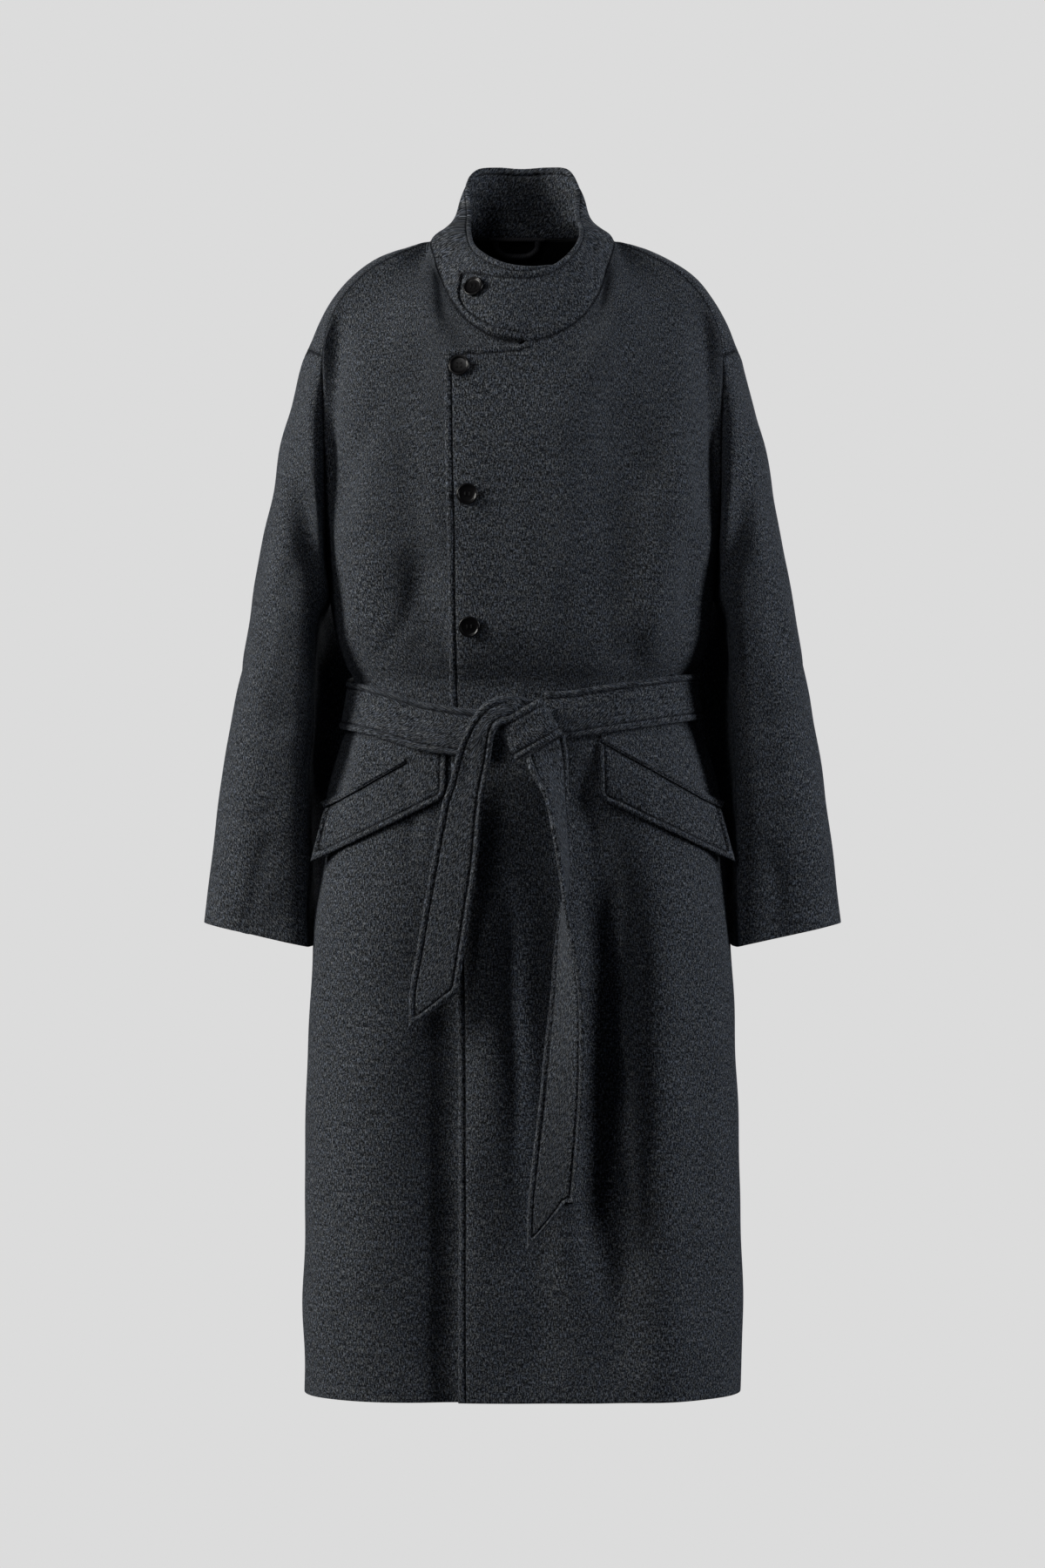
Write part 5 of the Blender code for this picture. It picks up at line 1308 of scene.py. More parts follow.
def sleeve_grid(loop):
    """The left sleeve: rows from the cuff up to the armhole, columns forwards round from the inside."""
    along = lengths(np.concatenate([loop, loop[:1]]))
    turn = 2 * math.pi * along[:-1] / along[-1]
    inner_front = 2 * np.clip(np.cos(turn), 0, 1) * np.clip(np.sin(turn), 0, 1)
    guides = [loop]
    for x_in, z_in, x_out, z_out, y_mid, depth, power, behind in SLEEVE:
        reach = squared(turn, power + SLEEVE_FLAT * inner_front)
        across = -np.cos(turn) * reach
        x = (x_in + x_out) / 2 + across * (x_out - x_in) / 2
        x -= behind * np.clip(np.cos(turn - SLEEVE_BEHIND), 0, 1) ** SLEEVE_TUCK
        z = (z_in + z_out) / 2 + across * (z_out - z_in) / 2
        y = y_mid - np.sin(turn) * reach * depth + SLEEVE_SLANT * across * (x_out - x_in) / 2
        guides.append(np.stack([x, y, z], axis=-1))
    ease = guides[0] * (1 - CAP_LEAD) + guides[1] * CAP_LEAD
    ease[:, 1] -= CAP_EASE * np.sin(turn) * np.abs(np.sin(turn))
    guides.insert(1, ease)
    lead_in = 2 * guides[0] - guides[1]
    rows = rows_through([lead_in, *guides], SLEEVE_ROWS)
    return np.concatenate([rows[::-1], loop[None]])


def sleeve_sheets(side):
    """The top and under sleeve, with the arm's creases."""
    loop = armhole(side)
    grid = sleeve_grid(loop if side == "left" else mirrored(loop))
    first, second = SLEEVE_SEAMS
    round_all = grid.shape[1]
    parts = {"top": np.arange(first, second + 1), "under": np.arange(second, round_all + first + 1) % round_all}
    for part, columns in parts.items():
        sheet = Sheet(grid[:, columns], (PLAIN, PLAIN), (PLAIN, STITCHED))
        height = waver(sheet.grid, *WAVERS[f"sleeve_{side}"])
        still = smoothstep(sheet.high / SEAM_HOLD)
        for which, view, line, breadth, rise in SLEEVE_CREASES:
            if which in (side, "both"):
                facing = smoothstep(-(sheet.grid[..., 1] - 12) / 30) if view == (0, 2) else 1.0
                height = height + facing * crease(sheet.grid, line, breadth, rise, view)
        sheet.push(height * still)
        if side == "right":
            sheet.grid = mirrored(sheet.grid)[:, ::-1]
            sheet.start, sheet.end = sheet.end[:, ::-1], sheet.start[:, ::-1]
            sheet.low, sheet.high = sheet.low[:, ::-1], sheet.high[:, ::-1]
        sheets[f"sleeve_{side}_{part}"] = sheet


def make_sleeve(side):
    """The top and under sleeve, sewn to each other and to the armhole."""
    for node in (f"sleeve_{side}_top", f"sleeve_{side}_under"):
        sheet = sheets[node]
        detail = sewn(sheet.start) + sewn(sheet.end) + sewn(sheet.high)
        cloth_piece(node, sheet, detail, lined=sheet.low > CUFF_TURN_UP)


def collar_sheet():
    """The collar: one band from its hidden end round the neck to its tab."""
    left, right, back = (coarse[name][-1, ::FINER] for name in ("left", "right", "back"))
    sewn_from = int(np.argmin(np.abs(LAP_COLUMNS[::FINER] - NOTCH)))
    last = len(LAP_COLUMNS[::FINER]) + NECK_COLUMNS // FINER
    shoulder, neck = SHOULDER_COLUMNS // FINER, BACK_NECK_COLUMNS // FINER
    under = right[::-1][sewn_from:last]
    behind = back[::-1][shoulder + 1:shoulder + neck]
    over = left[sewn_from:last][::-1]
    low = np.concatenate([COLLAR_HIDDEN_LOW, under, behind, over, TAB_LOWER])
    line = rounded(COLLAR_TOP, LONG_LINE_POINTS)
    keys = [nearest_to(line, COLLAR_TOP[row]) for _, row in COLLAR_KEYS]
    top = [line[:1]]
    for (start, end), (first, final) in zip(zip(keys, keys[1:]), zip(COLLAR_KEYS, COLLAR_KEYS[1:])):
        top.append(share_out(line[start:end + 1], even(final[0] - first[0]))[1:])
    top = np.concatenate(top)
    rise = even(COLLAR_ROWS)[:, None, None]
    grid = low * (1 - rise) + top * rise
    grid -= normals_of(grid) * COLLAR_SWELL * np.sin(math.pi * rise)
    sheet = Sheet(grid, (PLAIN, STITCHED), (STITCHED, STITCHED), STEPS["collar"], inside_out=True)
    lay_on_seam(sheet)
    along = sheet.start[0] / sheet.start[0, -1]
    height = waver(sheet.grid, *WAVERS["collar"])
    on_top = towards(sheet.grid, "front", COLLAR_CREASE_DEPTH)
    on_top = on_top * smoothstep((along - COLLAR_ON_TOP[0]) / COLLAR_ON_TOP[1])
    height = creased(height, sheet.grid, COLLAR_CREASES, on_top)
    beside = smoothstep((np.abs(sheet.grid[..., 0]) - COLLAR_SIDES[0]) / COLLAR_SIDES[1])
    waist = np.exp(-(((sheet.grid[..., 2] - COLLAR_WAIST_AT) / COLLAR_WAIST_REACH) ** 2))
    height = height - beside * COLLAR_WAIST * waist
    sheet.push(height * smoothstep(sheet.low / SEAM_HOLD))
    tab = smoothstep((along - TAB_FROM[0]) / TAB_FROM[1])
    near_notch = smoothstep((NOTCH - sheet.grid[0, :, 0]) / NOTCH_FADE) * collar_free(sheet)
    free = sheet.nearest(sheet.end, sheet.high, sheet.low + FAR * (1 - near_notch))
    sheet.push(COLLAR_ROLL * tab * np.exp(-((free / COLLAR_ROLL_REACH) ** 2)))
    sheet.front_from = COLLAR_FRONT
    sheets["collar"] = sheet


def make_collar():
    """The collar, sewn to the neck and stitched along its free edges."""
    sheet = sheets["collar"]
    free = collar_free(sheet)
    detail = (1 - free) * sewn(sheet.low)
    detail = detail + stitched(sheet.nearest(sheet.end, sheet.high, sheet.low + FAR * (1 - free)))
    cloth_piece("collar", sheet, detail, COLLAR_CLOTH, upright=True)


def collar_free(sheet):
    """For each column of the collar, how far its low edge is free: on the tab past the front's notch."""
    in_front = sheet.start[0] > sheet.start[0, -1] * COLLAR_FRONT
    return smoothstep((NOTCH - sheet.grid[0, :, 0]) / 3.0) * in_front


def make_lining():
    """The lining inside the back of the neck."""
    columns = slice(SHOULDER_COLUMNS + FINER, SHOULDER_COLUMNS + BACK_NECK_COLUMNS - FINER + 1)
    grid = coarse["back"][-LINING_ROWS:, columns].copy()
    grid[-1] += unit(grid[-2] - grid[-1]) * LINING_SHORT
    sheet = Sheet(grid)
    settle(sheet)
    sheet.grid = sheet.grid - sheet.normals * (CLOTH + LINING_GAP)
    sheet.push(-np.abs(waver(sheet.grid, *WAVERS["lining_back"])) * smoothstep(sheet.high / SEAM_HOLD))
    lined = np.ones_like(sheet.high, dtype=bool)
    piece = cloth_piece("lining_back", sheet, 0 * sheet.high, LINING_CLOTH, lined)
    piece.data.materials.clear()
    piece.data.materials.append(material("lining"))
    piece.data.polygons.foreach_set("material_index", np.zeros(len(piece.data.polygons), dtype=int))


def make_hanger():
    """The hanger loop: a narrow tube of lining cloth, its ends sewn into the neck seam."""
    path = spaced(HANGER, 60)
    halves = np.full((len(path), 2), HANGER_RADIUS)
    halves *= 1 + HANGER_PUCKER[0] * np.sin(np.arange(len(path)) * HANGER_PUCKER[1])[:, None]
    piece = tube_piece("hanger_loop_cloth", path, halves, 20, 2.0, material("loop"))
    ridden(piece, "lining", "hanger_loop")


def belt_middle(x, front_right):
    """Height of the middle of the belt in front."""
    rows = np.array(BELT_FRONT if front_right else BELT_FRONT_LEFT, float)
    return np.interp(x, rows[:, 0], rows[:, 1])


def waist_point(angle, z):
    """A point of the body's section at height z, at an angle from straight ahead towards the left."""
    half, front, back, power = section(z)
    reach = squared(angle, power, half, back if math.cos(angle) < 0 else front)
    return np.array([reach * math.sin(angle), -reach * math.cos(angle), z])


def make_belt():
    """The belt round the waist, open in front behind the knot."""
    right_start = math.atan2(BELT_FRONT[-1][0], BELT_DEPTH)
    left_start = math.atan2(BELT_FRONT_LEFT[0][0], BELT_DEPTH)
    quarter = math.pi / 2
    angles = np.concatenate([
        np.linspace(right_start, -quarter, BELT_COLUMNS[0] + 1)[:-1],
        np.linspace(-quarter, -3 * quarter, BELT_COLUMNS[1] + 1)[:-1],
        np.linspace(quarter, left_start, BELT_COLUMNS[2] + 1),
    ])
    edge = LAP_EDGE * edge_share(BELT_BACK)
    climb, before, descent = BELT_RISE
    columns = []
    for angle in angles[::-1]:
        x = waist_point(angle, BELT_BACK)[0]
        in_front = smoothstep((math.cos(angle) + BELT_SHOWS_FRONT[0]) / BELT_SHOWS_FRONT[1])
        middle = belt_middle(x, x < 0) * in_front + BELT_BACK * (1 - in_front)
        column = []
        for share in np.linspace(-1, 1, BELT_ACROSS):
            point = waist_point(angle, middle + share * BELT_WIDTH / 2)
            over = smoothstep((x + edge + climb + before) / climb)
            over *= 1 - smoothstep((x - edge - LAP_FADE[0]) / descent)
            column.append(point + outward(point) * (BELT_CLOTH + LAP * over * (math.cos(angle) > 0)))
        columns.append(column)
    grid = np.array(columns).transpose(1, 0, 2)[:, ::-1]
    sheet = Sheet(grid, up=(STITCHED, STITCHED), step=STEPS["belt"])
    height = waver(sheet.grid, *WAVERS["belt"])
    sheet.push(creased(height, sheet.grid, BELT_CREASES, towards(sheet.grid, "front", 30)))
    cloth_piece("belt_waist", sheet, stitched(sheet.nearest(sheet.low, sheet.high)), BELT_CLOTH)
    sheets["belt"] = sheet


def make_knot():
    """The turn of the belt round the knot, and the belt inside and over it."""
    along = np.array([math.cos(KNOT_SLANT), 0, math.sin(KNOT_SLANT)])
    up = np.array([-math.sin(KNOT_SLANT), 0, math.cos(KNOT_SLANT)])
    ahead = np.array([0, -1.0, 0])
    turn = np.linspace(math.pi / 2, -3 * math.pi / 2, WRAP_ROUND)
    reach = squared(turn + math.pi / 2, KNOT_SQUARENESS)
    rows = []
    for share in np.linspace(-1, 1, WRAP_ACROSS):
        swell = 1 - KNOT_DRAWN_IN * share * share
        centre = np.array(KNOT) + up * share * KNOT_WRAP_HALF_WIDTH
        out = along * (np.cos(turn) * reach * KNOT_HALF[0])[:, None]
        out = out + ahead * (np.sin(turn) * reach * KNOT_HALF[1])[:, None]
        rows.append(centre + out * swell)
    grid = np.roll(np.array(rows)[:, :-1], WRAP_ROUND // 2, axis=1)
    grid = np.concatenate([grid, grid[:, :1]], axis=1)
    sheet = Sheet(grid, up=(STITCHED, STITCHED), step=STEPS["knot"])
    sheet.turn_to(sheet.grid - np.array(KNOT))
    height = waver(sheet.grid, *WAVERS["knot"])
    sheet.push(creased(height, sheet.grid, KNOT_CREASES, smoothstep((KNOT[1] - sheet.grid[..., 1]) / 8)))
    cloth_piece("belt_knot_wrap", sheet, stitched(sheet.nearest(sheet.low, sheet.high)), BELT_CLOTH)
    sheets["knot"] = sheet
    rows = np.array(KNOT_LOOP, float)
    path = spaced(rows, LOOP_ALONG)
    piece = tube_piece("belt_knot_loop_cloth", path[:, :3], path[:, 3:], LOOP_ROUND, LOOP_SQUARENESS,
                       material("wool"))
    ridden(piece, "wool", "belt_knot_loop")


def make_tail(node, rows, tip, creases, head=()):
    """A hanging end of the belt: a flat band that turns as it falls, cut on a slant."""
    rows = np.array(rows, float)
    rows = spaced(rows[:, [1, 2, 0, 3, 4, 5]], TAIL_ROWS)
    turn = np.radians(rows[:, 3])
    across = np.stack([np.cos(turn), np.sin(turn), rows[:, 5] / rows[:, 4]], axis=-1)
    middle = rows[:, :3]
    near, far = middle - across * rows[:, 4:5], middle + across * rows[:, 4:5]
    tip_edge = near
    if near[-1, 0] > far[-1, 0]:
        near[-1, 2] += TAIL_CUT
        tip_edge = far
    tip_edge[-1, [0, 2]] = tip
    face = np.stack([np.sin(turn), -np.cos(turn), np.zeros_like(turn)], axis=-1)
    near, far = near + face * BELT_CLOTH / 2, far + face * BELT_CLOTH / 2
    if len(head):
        head = np.array(head, float)
        below = near[:, 2] < TAIL_HEAD_TO
        near = np.concatenate([head[:, :3], near[below]])
        far = np.concatenate([head[:, 3:], far[below]])
        both = spaced(np.concatenate([near, far], axis=1), TAIL_ROWS_WITH_HEAD, BAND_POINTS)
        both[-1] = np.concatenate([near[-1], far[-1]])
        near, far = both[:, :3], both[:, 3:]
        face = np.tile(face.mean(axis=0), (len(near), 1))
    share = np.linspace(0, 1, TAIL_ACROSS)[None, :, None]
    grid = near[:, None] * (1 - share) + far[:, None] * share
    sheet = Sheet(grid[::-1], (STITCHED, STITCHED), (STITCHED, PLAIN), STEPS["tail"])
    sheet.turn_to(face[::-1].mean(axis=0))
    height = waver(sheet.grid, *WAVERS["tail"])
    sheet.push(creased(height, sheet.grid, creases))
    reach = sheet.nearest(sheet.start, sheet.end, sheet.low)
    cloth_piece(node, sheet, stitched(reach), BELT_CLOTH)
    sheets[node] = sheet


def on_panel(panel, x, z):
    """The place and direction of a panel's outer face in front, where x and z are given."""
    flat, normals = panel.grid.reshape(-1, 3), panel.normals.reshape(-1, 3)
    use = (flat[:, 1] < 0) & (panel.start.ravel() > panel.start.max() * panel.front_from)
    flat, normals = flat[use], normals[use]
    away = (flat[:, 0] - x) ** 2 + (flat[:, 2] - z) ** 2
    near = np.argpartition(away, PANEL_POINTS)[:PANEL_POINTS]
    weight = 1 / (away[near] + 1)
    rest = normals[near, 0] * (x - flat[near, 0]) + normals[near, 2] * (z - flat[near, 2])
    y = flat[near, 1] - rest / np.minimum(normals[near, 1], -LEAST_FACING)
    place = np.array([x, (y * weight).sum() / weight.sum(), z])
    return place, unit((normals[near] * weight[:, None]).sum(0))


def pocket_points(panel, corners, mirror, stand, rows, columns):
    """A grid of points over a front, between four corners given in front view."""
    top_in, top_out, low_out, low_in = np.array(corners, float)
    side = -1 if mirror else 1
    grid = np.empty((rows + 1, columns + 1, 3))
    for r, down in enumerate(even(rows)):
        for c, out in enumerate(even(columns)):
            top = top_in * (1 - out) + top_out * out
            low = low_in * (1 - out) + low_out * out
            x, z = top * (1 - down) + low * down
            if mirror:
                below = FLAP_BELOW_BELT[0] + FLAP_BELOW_BELT[1] * down
                z = min(z, belt_middle(-x, True) - BELT_WIDTH / 2 - below)
            over = max(x - FLAP_HOLD, 0)
            place, normal = on_panel(panel, side * (x - over), z)
            slope = normal[0] / max(-normal[1], FLAP_LEAST_FACING)
            place = place + np.array([side * over, slope * side * over * FLAP_TURN, 0])
            grid[r, c] = place + normal * (stand[0] * (1 - down) + stand[1] * down + over * FLAP_OUT)
    return grid


def make_pocket(side):
    """A pocket flap, stitched round its free edges, and the narrow welt above it."""
    mirror = side == "right"
    panel = sheets[side]

    def sheet_of(grid, thickness, up):
        grid = grid[::-1]
        if mirror:
            grid = grid[:, ::-1]
        across = (STITCHED, STITCHED) if thickness == FLAP_CLOTH else (PLAIN, PLAIN)
        sheet = Sheet(grid, across, up, STEPS["pocket"])
        sheet.grid = sheet.grid + sheet.normals * thickness
        return sheet

    flap = sheet_of(pocket_points(panel, FLAP, mirror, FLAP_LIES, 10, 24), FLAP_CLOTH, (STITCHED, PLAIN))
    flap.round_off(flap.end if mirror else flap.start, flap.low, FLAP_CORNER)
    flap.push(waver(flap.grid, *WAVERS[f"flap_{side}"]))
    reach = flap.nearest(flap.start, flap.end, flap.low)
    detail = stitched(reach) + FLAP_SEAM * sewn(flap.high)
    cloth_piece(f"flap_{side}", flap, detail, FLAP_CLOTH)
    sheets[f"flap_{side}"] = flap
    top_in, top_out = np.array(FLAP[:2], float)
    along = (top_out - top_in) / np.linalg.norm(top_out - top_in)
    up = np.array([-along[1], along[0]])
    if mirror:
        top_in = top_in + along * WELT_HIDDEN
    gap, band = up * WELT_GAP, up * (WELT_GAP + WELT_WIDTH)
    corners = (top_in + band, top_out + band, top_out + gap, top_in + gap)
    grid = pocket_points(panel, corners, mirror, (WELT_STAND, WELT_STAND), 4, 24)
    welt = sheet_of(grid, WELT_CLOTH, (PLAIN, PLAIN))
    ridge = WELT_RIDGE * np.sin(math.pi * welt.low / (welt.low + welt.high)) ** 2
    cloth_piece(f"welt_{side}", welt, ridge, WELT_CLOTH)


# ---- stitching, buttons and the stage ----
def route_of(sheet, edges):
    """Places along the stitching of some edges in turn, each entered at the corner it shares with the last."""
    rows, columns = sheet.grid.shape[:2]
    at, corner = (
        {"start": near, "end": columns - 1 - near, "low": near, "high": rows - 1 - near}
        for near in (STITCH_INDEX, CORNER_INDEX)
    )
    route = []
    for index, edge in enumerate(edges):
        name = edge.lstrip("-")
        level = name in ("low", "high")
        line = [(at[name], c) for c in range(columns)] if level else [(r, at[name]) for r in range(rows)]
        first = PAST_CORNER if index else 1
        last = PAST_CORNER if index < len(edges) - 1 else 1
        route += (line[::-1] if edge.startswith("-") else line)[first:len(line) - last]
        if index < len(edges) - 1:
            other = corner[edges[index + 1].lstrip("-")]
            route.append((corner[name], other) if level else (other, corner[name]))
    return route


def sewn_run(name, *edges, keep=None):
    """Points and directions of a row of stitches along some of a finished piece's edges."""
    sheet = sheets[name]
    rows, columns = np.array(route_of(sheet, edges)).T
    line, faces = sheet.outer[rows, columns], sheet.faces[rows, columns]
    if keep is not None:
        use = keep(line)
        line, faces = line[use], faces[use]
    return line, faces


def on_free_tab(points):
    """Which points are on the tab's lower edge, past the notch, and in front of what the collar hides."""
    x, y, z = points.T
    return (x < NOTCH - 2) & (y < -60) & (z > -125) & (y < TAB_FRONT + TAB_FRONT_ROUND * x**2)


def make_stitching():
    """All the coat's rows of stitches, in groups."""
    neck_side = NECKLINE[NECK_SIDE][0]
    free = ("-start", "low", "end")
    groups = {
        "front": [
            sewn_run("left", "start", keep=lambda p: p[:, 2] < FREE_TOP[1] - EDGE_FROM),
            sewn_run("left", "high", keep=lambda p: p[:, 0] < NOTCH),
        ],
        "shoulders": [
            sewn_run("back", "high", keep=lambda p: p[:, 0] > neck_side),
            sewn_run("back", "high", keep=lambda p: p[:, 0] < -neck_side),
        ],
        "collar": [sewn_run("collar", "high", "-end"), sewn_run("collar", "low", keep=on_free_tab)],
        "belt": [
            *(sewn_run(name, edge) for name in ("belt", "knot") for edge in ("low", "high")),
            *(sewn_run(name, *free) for name in ("belt_tail_left", "belt_tail_right")),
        ],
        "pockets": [sewn_run(name, *free) for name in ("flap_left", "flap_right")],
    }
    for name, runs in groups.items():
        stitching(f"stitches_{name}", runs, material("thread"))


def make_buttonholes():
    """A slit beside each button, its two lips overcast."""
    runs = []
    for name, x, z in BUTTONS:
        sheet = sheets["collar" if name == "button_1" else "left"]
        middle = x + SLIT_FROM + SLIT_LENGTH / 2
        for side in (-1, 1):
            steps = np.arange(int(SLIT_LENGTH / SLIT_PITCH) + 1) * SLIT_PITCH - SLIT_LENGTH / 2
            for step in steps:
                lip = [on_panel(sheet, middle + step, z + side * reach) for reach in SLIT_LIPS]
                runs.append((np.array([lip[0][0], lip[1][0]]), np.array([lip[0][1], lip[1][1]])))
    stitching("stitches_buttonholes", runs, material("button_thread"), SLIT_STITCH)


def drill(piece, x, y):
    """Cuts one sewing hole through a button."""
    cutter = added(
        "drill", bpy.ops.mesh.primitive_cylinder_add, vertices=20, radius=HOLE_RADIUS * METRES,
        depth=HOLE_CUT * METRES, location=(x * METRES, y * METRES, 0),
    )
    active(piece)
    bpy.ops.object.modifier_add(type="BOOLEAN")
    cut = piece.modifiers[-1]
    cut.object = cutter
    bpy.ops.object.modifier_apply(modifier=cut.name)
    active(cutter)
    bpy.ops.object.delete()


def turned_button():
    """One button: a spun body with a raised rim and a dished face, four holes, and its threads."""
    profile = np.array(BUTTON_SECTION, float)
    turn = np.linspace(0, 2 * math.pi, 65)
    grid = np.stack([
        profile[:, :1] * np.cos(turn), profile[:, :1] * np.sin(turn), profile[:, 1:] + 0 * turn[None],
    ], axis=-1)
    uv = np.zeros((*grid.shape[:2], 2))
    piece = in_edit_mode(lay_grid("button_body", grid, uv, [material("button")]), close_up)
    for sx in (-1, 1):
        for sy in (-1, 1):
            drill(piece, sx * HOLE_PLACE, sy * HOLE_PLACE)
    active(piece)
    bpy.ops.object.shade_smooth_by_angle(angle=BUTTON_SMOOTH)
    threads = []
    for sx in (-1, 1):
        for shift in (-THREAD_APART, THREAD_APART):
            path = spaced([(sx * HOLE_PLACE + shift, y, height) for y, height in THREAD_ROUTE], 14)
            halves = np.full((len(path), 2), THREAD_RADIUS)
            thread = material("button_thread")
            threads.append(tube_piece("button_threads", path, halves, 8, 2.0, thread, (0.0, 0.0, 1.0)))
    active(piece)
    for thread in threads:
        thread.select_set(True)
    bpy.ops.object.join()
    return piece


def make_buttons():
    """Four copies of the button, each lying on its cloth."""
    first = turned_button()
    for name, x, z in BUTTONS:
        sheet = sheets["collar" if name == "button_1" else "left"]
        place, normal = on_panel(sheet, x, z)
        side = unit(np.cross(np.array([0, 0, 1.0]), normal))
        up = np.cross(normal, side)
        active(first)
        bpy.ops.object.duplicate()
        piece = bpy.context.object
        piece.name = piece.data.name = f"{name}_finished"
        turn = np.eye(4)
        turn[:3] = np.stack([side, up, normal, (place + normal * BUTTON_LIFT) * METRES], axis=1)
        piece.matrix_world = Matrix(turn.tolist())
        bpy.ops.object.transform_apply(location=True, rotation=True, scale=True)
        ridden(piece, "button", name)
    active(first)
    bpy.ops.object.delete()


def make_hanger_bar():
    """The stitched bar that holds the hanger loop's ends in the neck seam."""
    (x_left, y, z), (x_right, _, _) = HANGER[0], HANGER[-1]
    x = np.linspace(x_left - BAR_PAST, x_right + BAR_PAST, 24)
    bow = BAR_BOW * (x - (x_left + x_right) / 2) ** 2
    path = np.stack([x, y + BAR_OFF[0] - bow, np.full(24, z + BAR_OFF[1])], axis=-1)
    halves = np.tile(BAR_SECTION, (24, 1))
    piece = tube_piece("hanger_bar_cloth", path, halves, 16, BAR_SQUARENESS, material("loop"))
    ridden(piece, "lining")


def area_light(name, place, size, power, colour):
    light = added(name, bpy.ops.object.light_add, type="AREA", location=place)
    light.data.shape = "RECTANGLE"
    light.data.size, light.data.size_y = size
    light.data.energy = power
    light.data.color = linear(colour)[:3]
    light.rotation_euler = (Vector(LIT_PLACE) - Vector(place)).to_track_quat("-Z", "Y").to_euler()


def make_stage():
    """A pale floor and backdrop all round, soft lights from both sides and from behind, and the camera."""
    scene = bpy.context.scene
    stage = scene.coat_stage
    hem = HEM * METRES
    dome = added("backdrop_paper", bpy.ops.mesh.primitive_uv_sphere_add, segments=64, ring_count=32,
                 radius=stage.room, location=(0, 0, hem))
    in_edit_mode(dome, lambda: bpy.ops.mesh.normals_make_consistent(inside=True))
    floor = added("floor_paper", bpy.ops.mesh.primitive_circle_add, vertices=96, radius=stage.room * 0.98,
                  fill_type="NGON", location=(0, 0, hem - stage.floor_drop))
    for piece in (dome, floor):
        piece.data.materials.append(material("paper"))
        piece.data.shade_smooth()
        piece.visible_diffuse = piece.visible_glossy = piece.visible_shadow = False
        piece.visible_transmission = False
    for name, place, size, share, colour in LIGHTS:
        area_light(name, place, size, stage.light * share, colour)
    scene.world = bpy.data.worlds.new("studio")
    scene.world.use_nodes = True
    sky = scene.world.node_tree.nodes["Background"].inputs
    sky["Color"].default_value = linear("#f2f4ff")
    sky["Strength"].default_value = stage.ambient
    level = (math.pi / 2, 0, 0)
    scene.camera = added("camera", bpy.ops.object.camera_add, location=CAMERA_PLACE, rotation=level)
    scene.camera.data.sensor_width = 36.0
    scene.camera.data.lens = stage.lens
    scene.view_settings.view_transform = "Standard"


# ---- settings, operators and panel ----
def colour_setting(name, description, default):
    return FloatVectorProperty(
        name=name, description=description, subtype="COLOR", size=3, min=0.0, max=1.0,
        default=linear(default)[:3],
    )


def share_setting(name, description, default):
    return FloatProperty(
        name=name, description=description, subtype="FACTOR", min=0.0, max=1.0, default=default,
    )


class CoatCloth(bpy.types.PropertyGroup):
    dark: colour_setting("Dark fibre", "Colour of the wool's darker fibres", "#101317")
    pale: colour_setting("Pale fibre", "Colour of the paler fibres spun in with them", "#b4bac3")
    sheen: share_setting("Sheen", "How far the raised fibres catch a glancing light", 0.22)
    grain: FloatProperty(
        name="Speckle", description="Width of the wool's speckles", subtype="DISTANCE", unit="LENGTH",
        min=0.0003, max=0.005, default=0.0015,
    )


class CoatTrim(bpy.types.PropertyGroup):
    button_roughness: share_setting("Button roughness", "How matt the buttons' polish is", 0.28)
    button_colour: colour_setting("Button", "Colour of the buttons", "#151416")
    thread_colour: colour_setting("Thread", "Colour of the topstitching", "#1d2025")


class CoatStage(bpy.types.PropertyGroup):
    paper: colour_setting("Paper", "Colour of the floor and backdrop", "#dcdcdc")
    light: FloatProperty(
        name="Light", description="Power of the stronger side light", subtype="POWER", unit="POWER", min=0.0,
        default=75.0,
    )
    ambient: FloatProperty(
        name="Ambient", description="Strength of the light from all round", min=0.0, default=0.012,
    )
    room: FloatProperty(
        name="Room", description="Radius of the backdrop", subtype="DISTANCE", unit="LENGTH", min=7.0,
        default=9.0,
    )
    floor_drop: FloatProperty(
        name="Floor below hem", description="How far the floor lies below the hem", subtype="DISTANCE",
        unit="LENGTH", min=0.0, default=0.3,
    )
    lens: FloatProperty(
        name="Lens", description="Focal length of the camera", subtype="DISTANCE_CAMERA", min=20.0,
        default=111.1,
    )


class COAT_OT_body(bpy.types.Operator):
    """Lays the cloth of both fronts and the back"""

    bl_idname = "coat.body"
    bl_label = "Fronts and back"

    def execute(self, context):
        cut_cloth()
        make_front("left")
        make_front("right")
        make_back()
        return {"FINISHED"}


class COAT_OT_sleeves(bpy.types.Operator):
    """Sets both two-piece sleeves into their armholes"""

    bl_idname = "coat.sleeves"
    bl_label = "Sleeves"

    def execute(self, context):
        make_sleeve("left")
        make_sleeve("right")
        return {"FINISHED"}


class COAT_OT_collar(bpy.types.Operator):
    """Sews on the funnel collar with its lapped tab"""

    bl_idname = "coat.collar"
    bl_label = "Collar"

    def execute(self, context):
        make_collar()
        return {"FINISHED"}


class COAT_OT_lining(bpy.types.Operator):
    """Adds the lining inside the neck and the hanger loop"""

    bl_idname = "coat.lining"
    bl_label = "Lining and hanger loop"

    def execute(self, context):
        make_lining()
        make_hanger()
        make_hanger_bar()
        return {"FINISHED"}


class COAT_OT_belt(bpy.types.Operator):
    """Ties the belt, with its knot and its two hanging ends"""

    bl_idname = "coat.belt"
    bl_label = "Belt"

    def execute(self, context):
        make_belt()
        make_knot()
        make_tail("belt_tail_right", TAIL_RIGHT, TAIL_RIGHT_TIP, TAIL_RIGHT_CREASES, TAIL_HEAD)
        make_tail("belt_tail_left", TAIL_LEFT, TAIL_LEFT_TIP, TAIL_LEFT_CREASES)
        return {"FINISHED"}


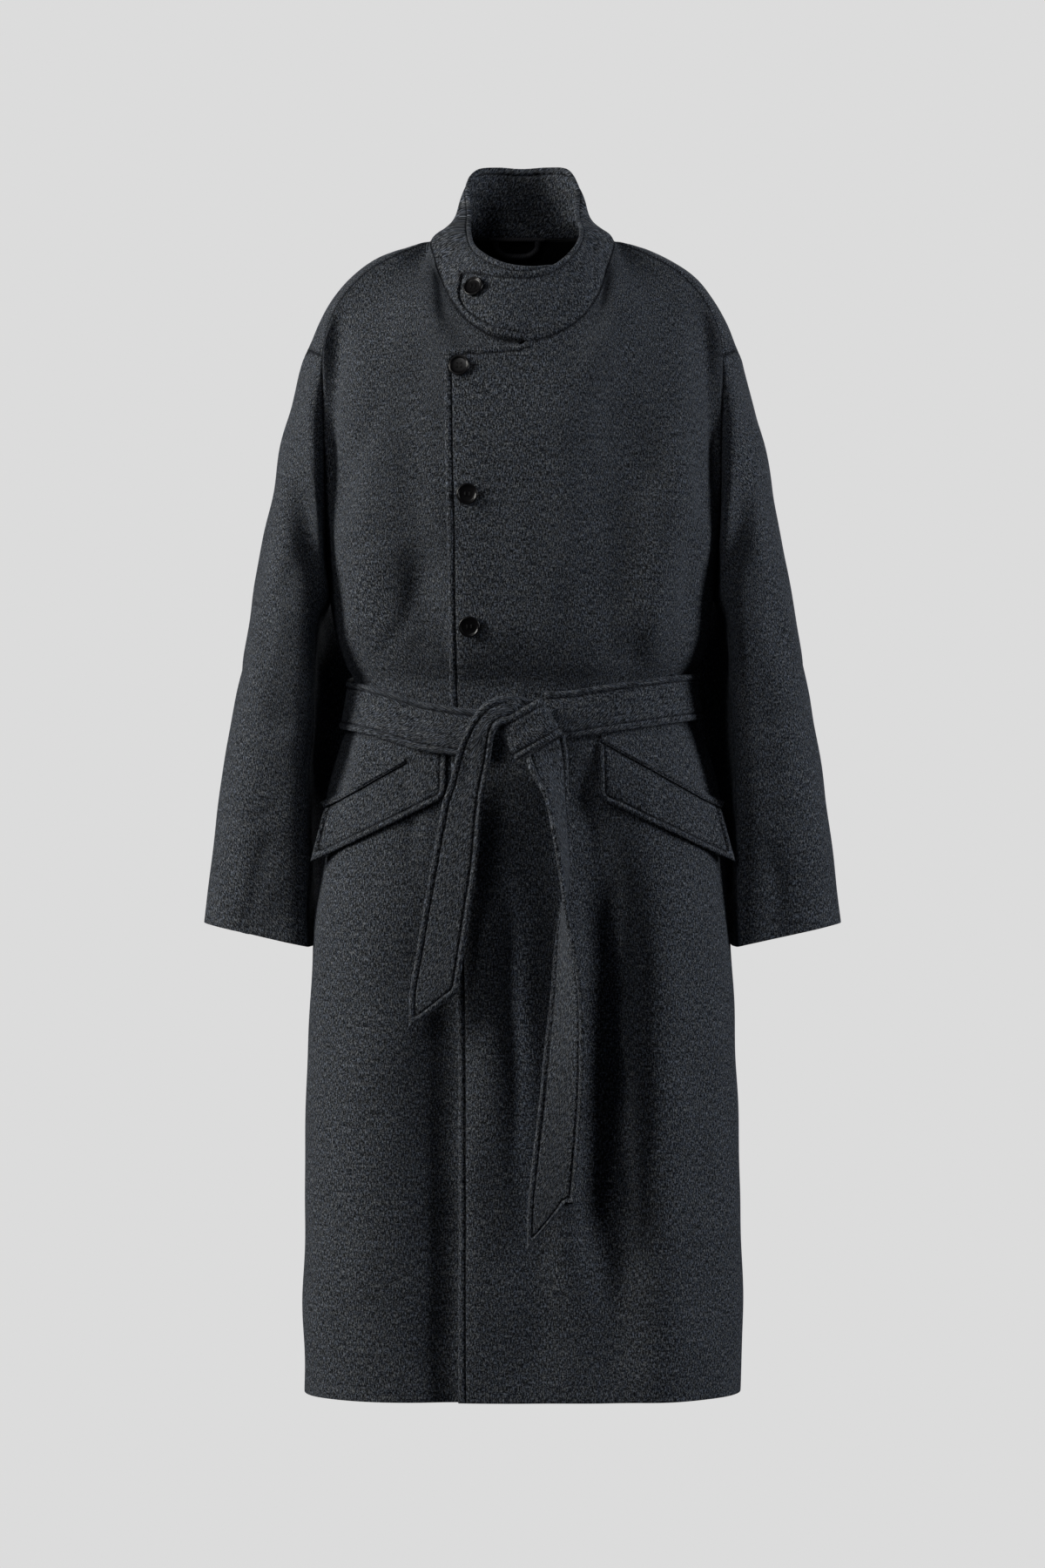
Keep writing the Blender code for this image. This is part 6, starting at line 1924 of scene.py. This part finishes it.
class COAT_OT_pockets(bpy.types.Operator):
    """Sews on the pocket flaps and their welts"""

    bl_idname = "coat.pockets"
    bl_label = "Pockets"

    def execute(self, context):
        make_pocket("left")
        make_pocket("right")
        return {"FINISHED"}


class COAT_OT_buttons(bpy.types.Operator):
    """Sews on the four buttons and works a buttonhole beside each"""

    bl_idname = "coat.buttons"
    bl_label = "Buttons"

    def execute(self, context):
        make_buttons()
        make_buttonholes()
        return {"FINISHED"}


class COAT_OT_stitching(bpy.types.Operator):
    """Runs the topstitching along the edges"""

    bl_idname = "coat.stitching"
    bl_label = "Topstitching"

    def execute(self, context):
        make_stitching()
        return {"FINISHED"}


class COAT_OT_stage(bpy.types.Operator):
    """Sets up the floor, the backdrop, the lights and the camera"""

    bl_idname = "coat.stage"
    bl_label = "Stage"

    def execute(self, context):
        make_stage()
        return {"FINISHED"}


OPERATORS = (
    COAT_OT_body, COAT_OT_sleeves, COAT_OT_collar, COAT_OT_lining, COAT_OT_belt, COAT_OT_pockets,
    COAT_OT_buttons, COAT_OT_stitching, COAT_OT_stage,
)
GROUPS = {"coat_cloth": CoatCloth, "coat_trim": CoatTrim, "coat_stage": CoatStage}


class COAT_PT_panel(bpy.types.Panel):
    """Lists the coat's settings and its pieces"""

    bl_idname = "COAT_PT_panel"
    bl_label = "Wrap coat"
    bl_space_type = "VIEW_3D"
    bl_region_type = "UI"
    bl_category = "Coat"

    def draw(self, context):
        for name in GROUPS:
            box = self.layout.box()
            group = getattr(context.scene, name)
            for setting in group.__annotations__:
                box.prop(group, setting)
        for operator in OPERATORS:
            self.layout.operator(operator.bl_idname)


def register():
    for group in (*GROUPS.values(), *OPERATORS, COAT_PT_panel):
        bpy.utils.register_class(group)
    for name, group in GROUPS.items():
        setattr(bpy.types.Scene, name, bpy.props.PointerProperty(type=group))


def unregister():
    for name in GROUPS:
        delattr(bpy.types.Scene, name)
    for group in reversed((*GROUPS.values(), *OPERATORS, COAT_PT_panel)):
        bpy.utils.unregister_class(group)


def main():
    register()
    for operator in OPERATORS:
        category, name = operator.bl_idname.split(".")
        getattr(getattr(bpy.ops, category), name)()


if __name__ == "__main__":
    main()
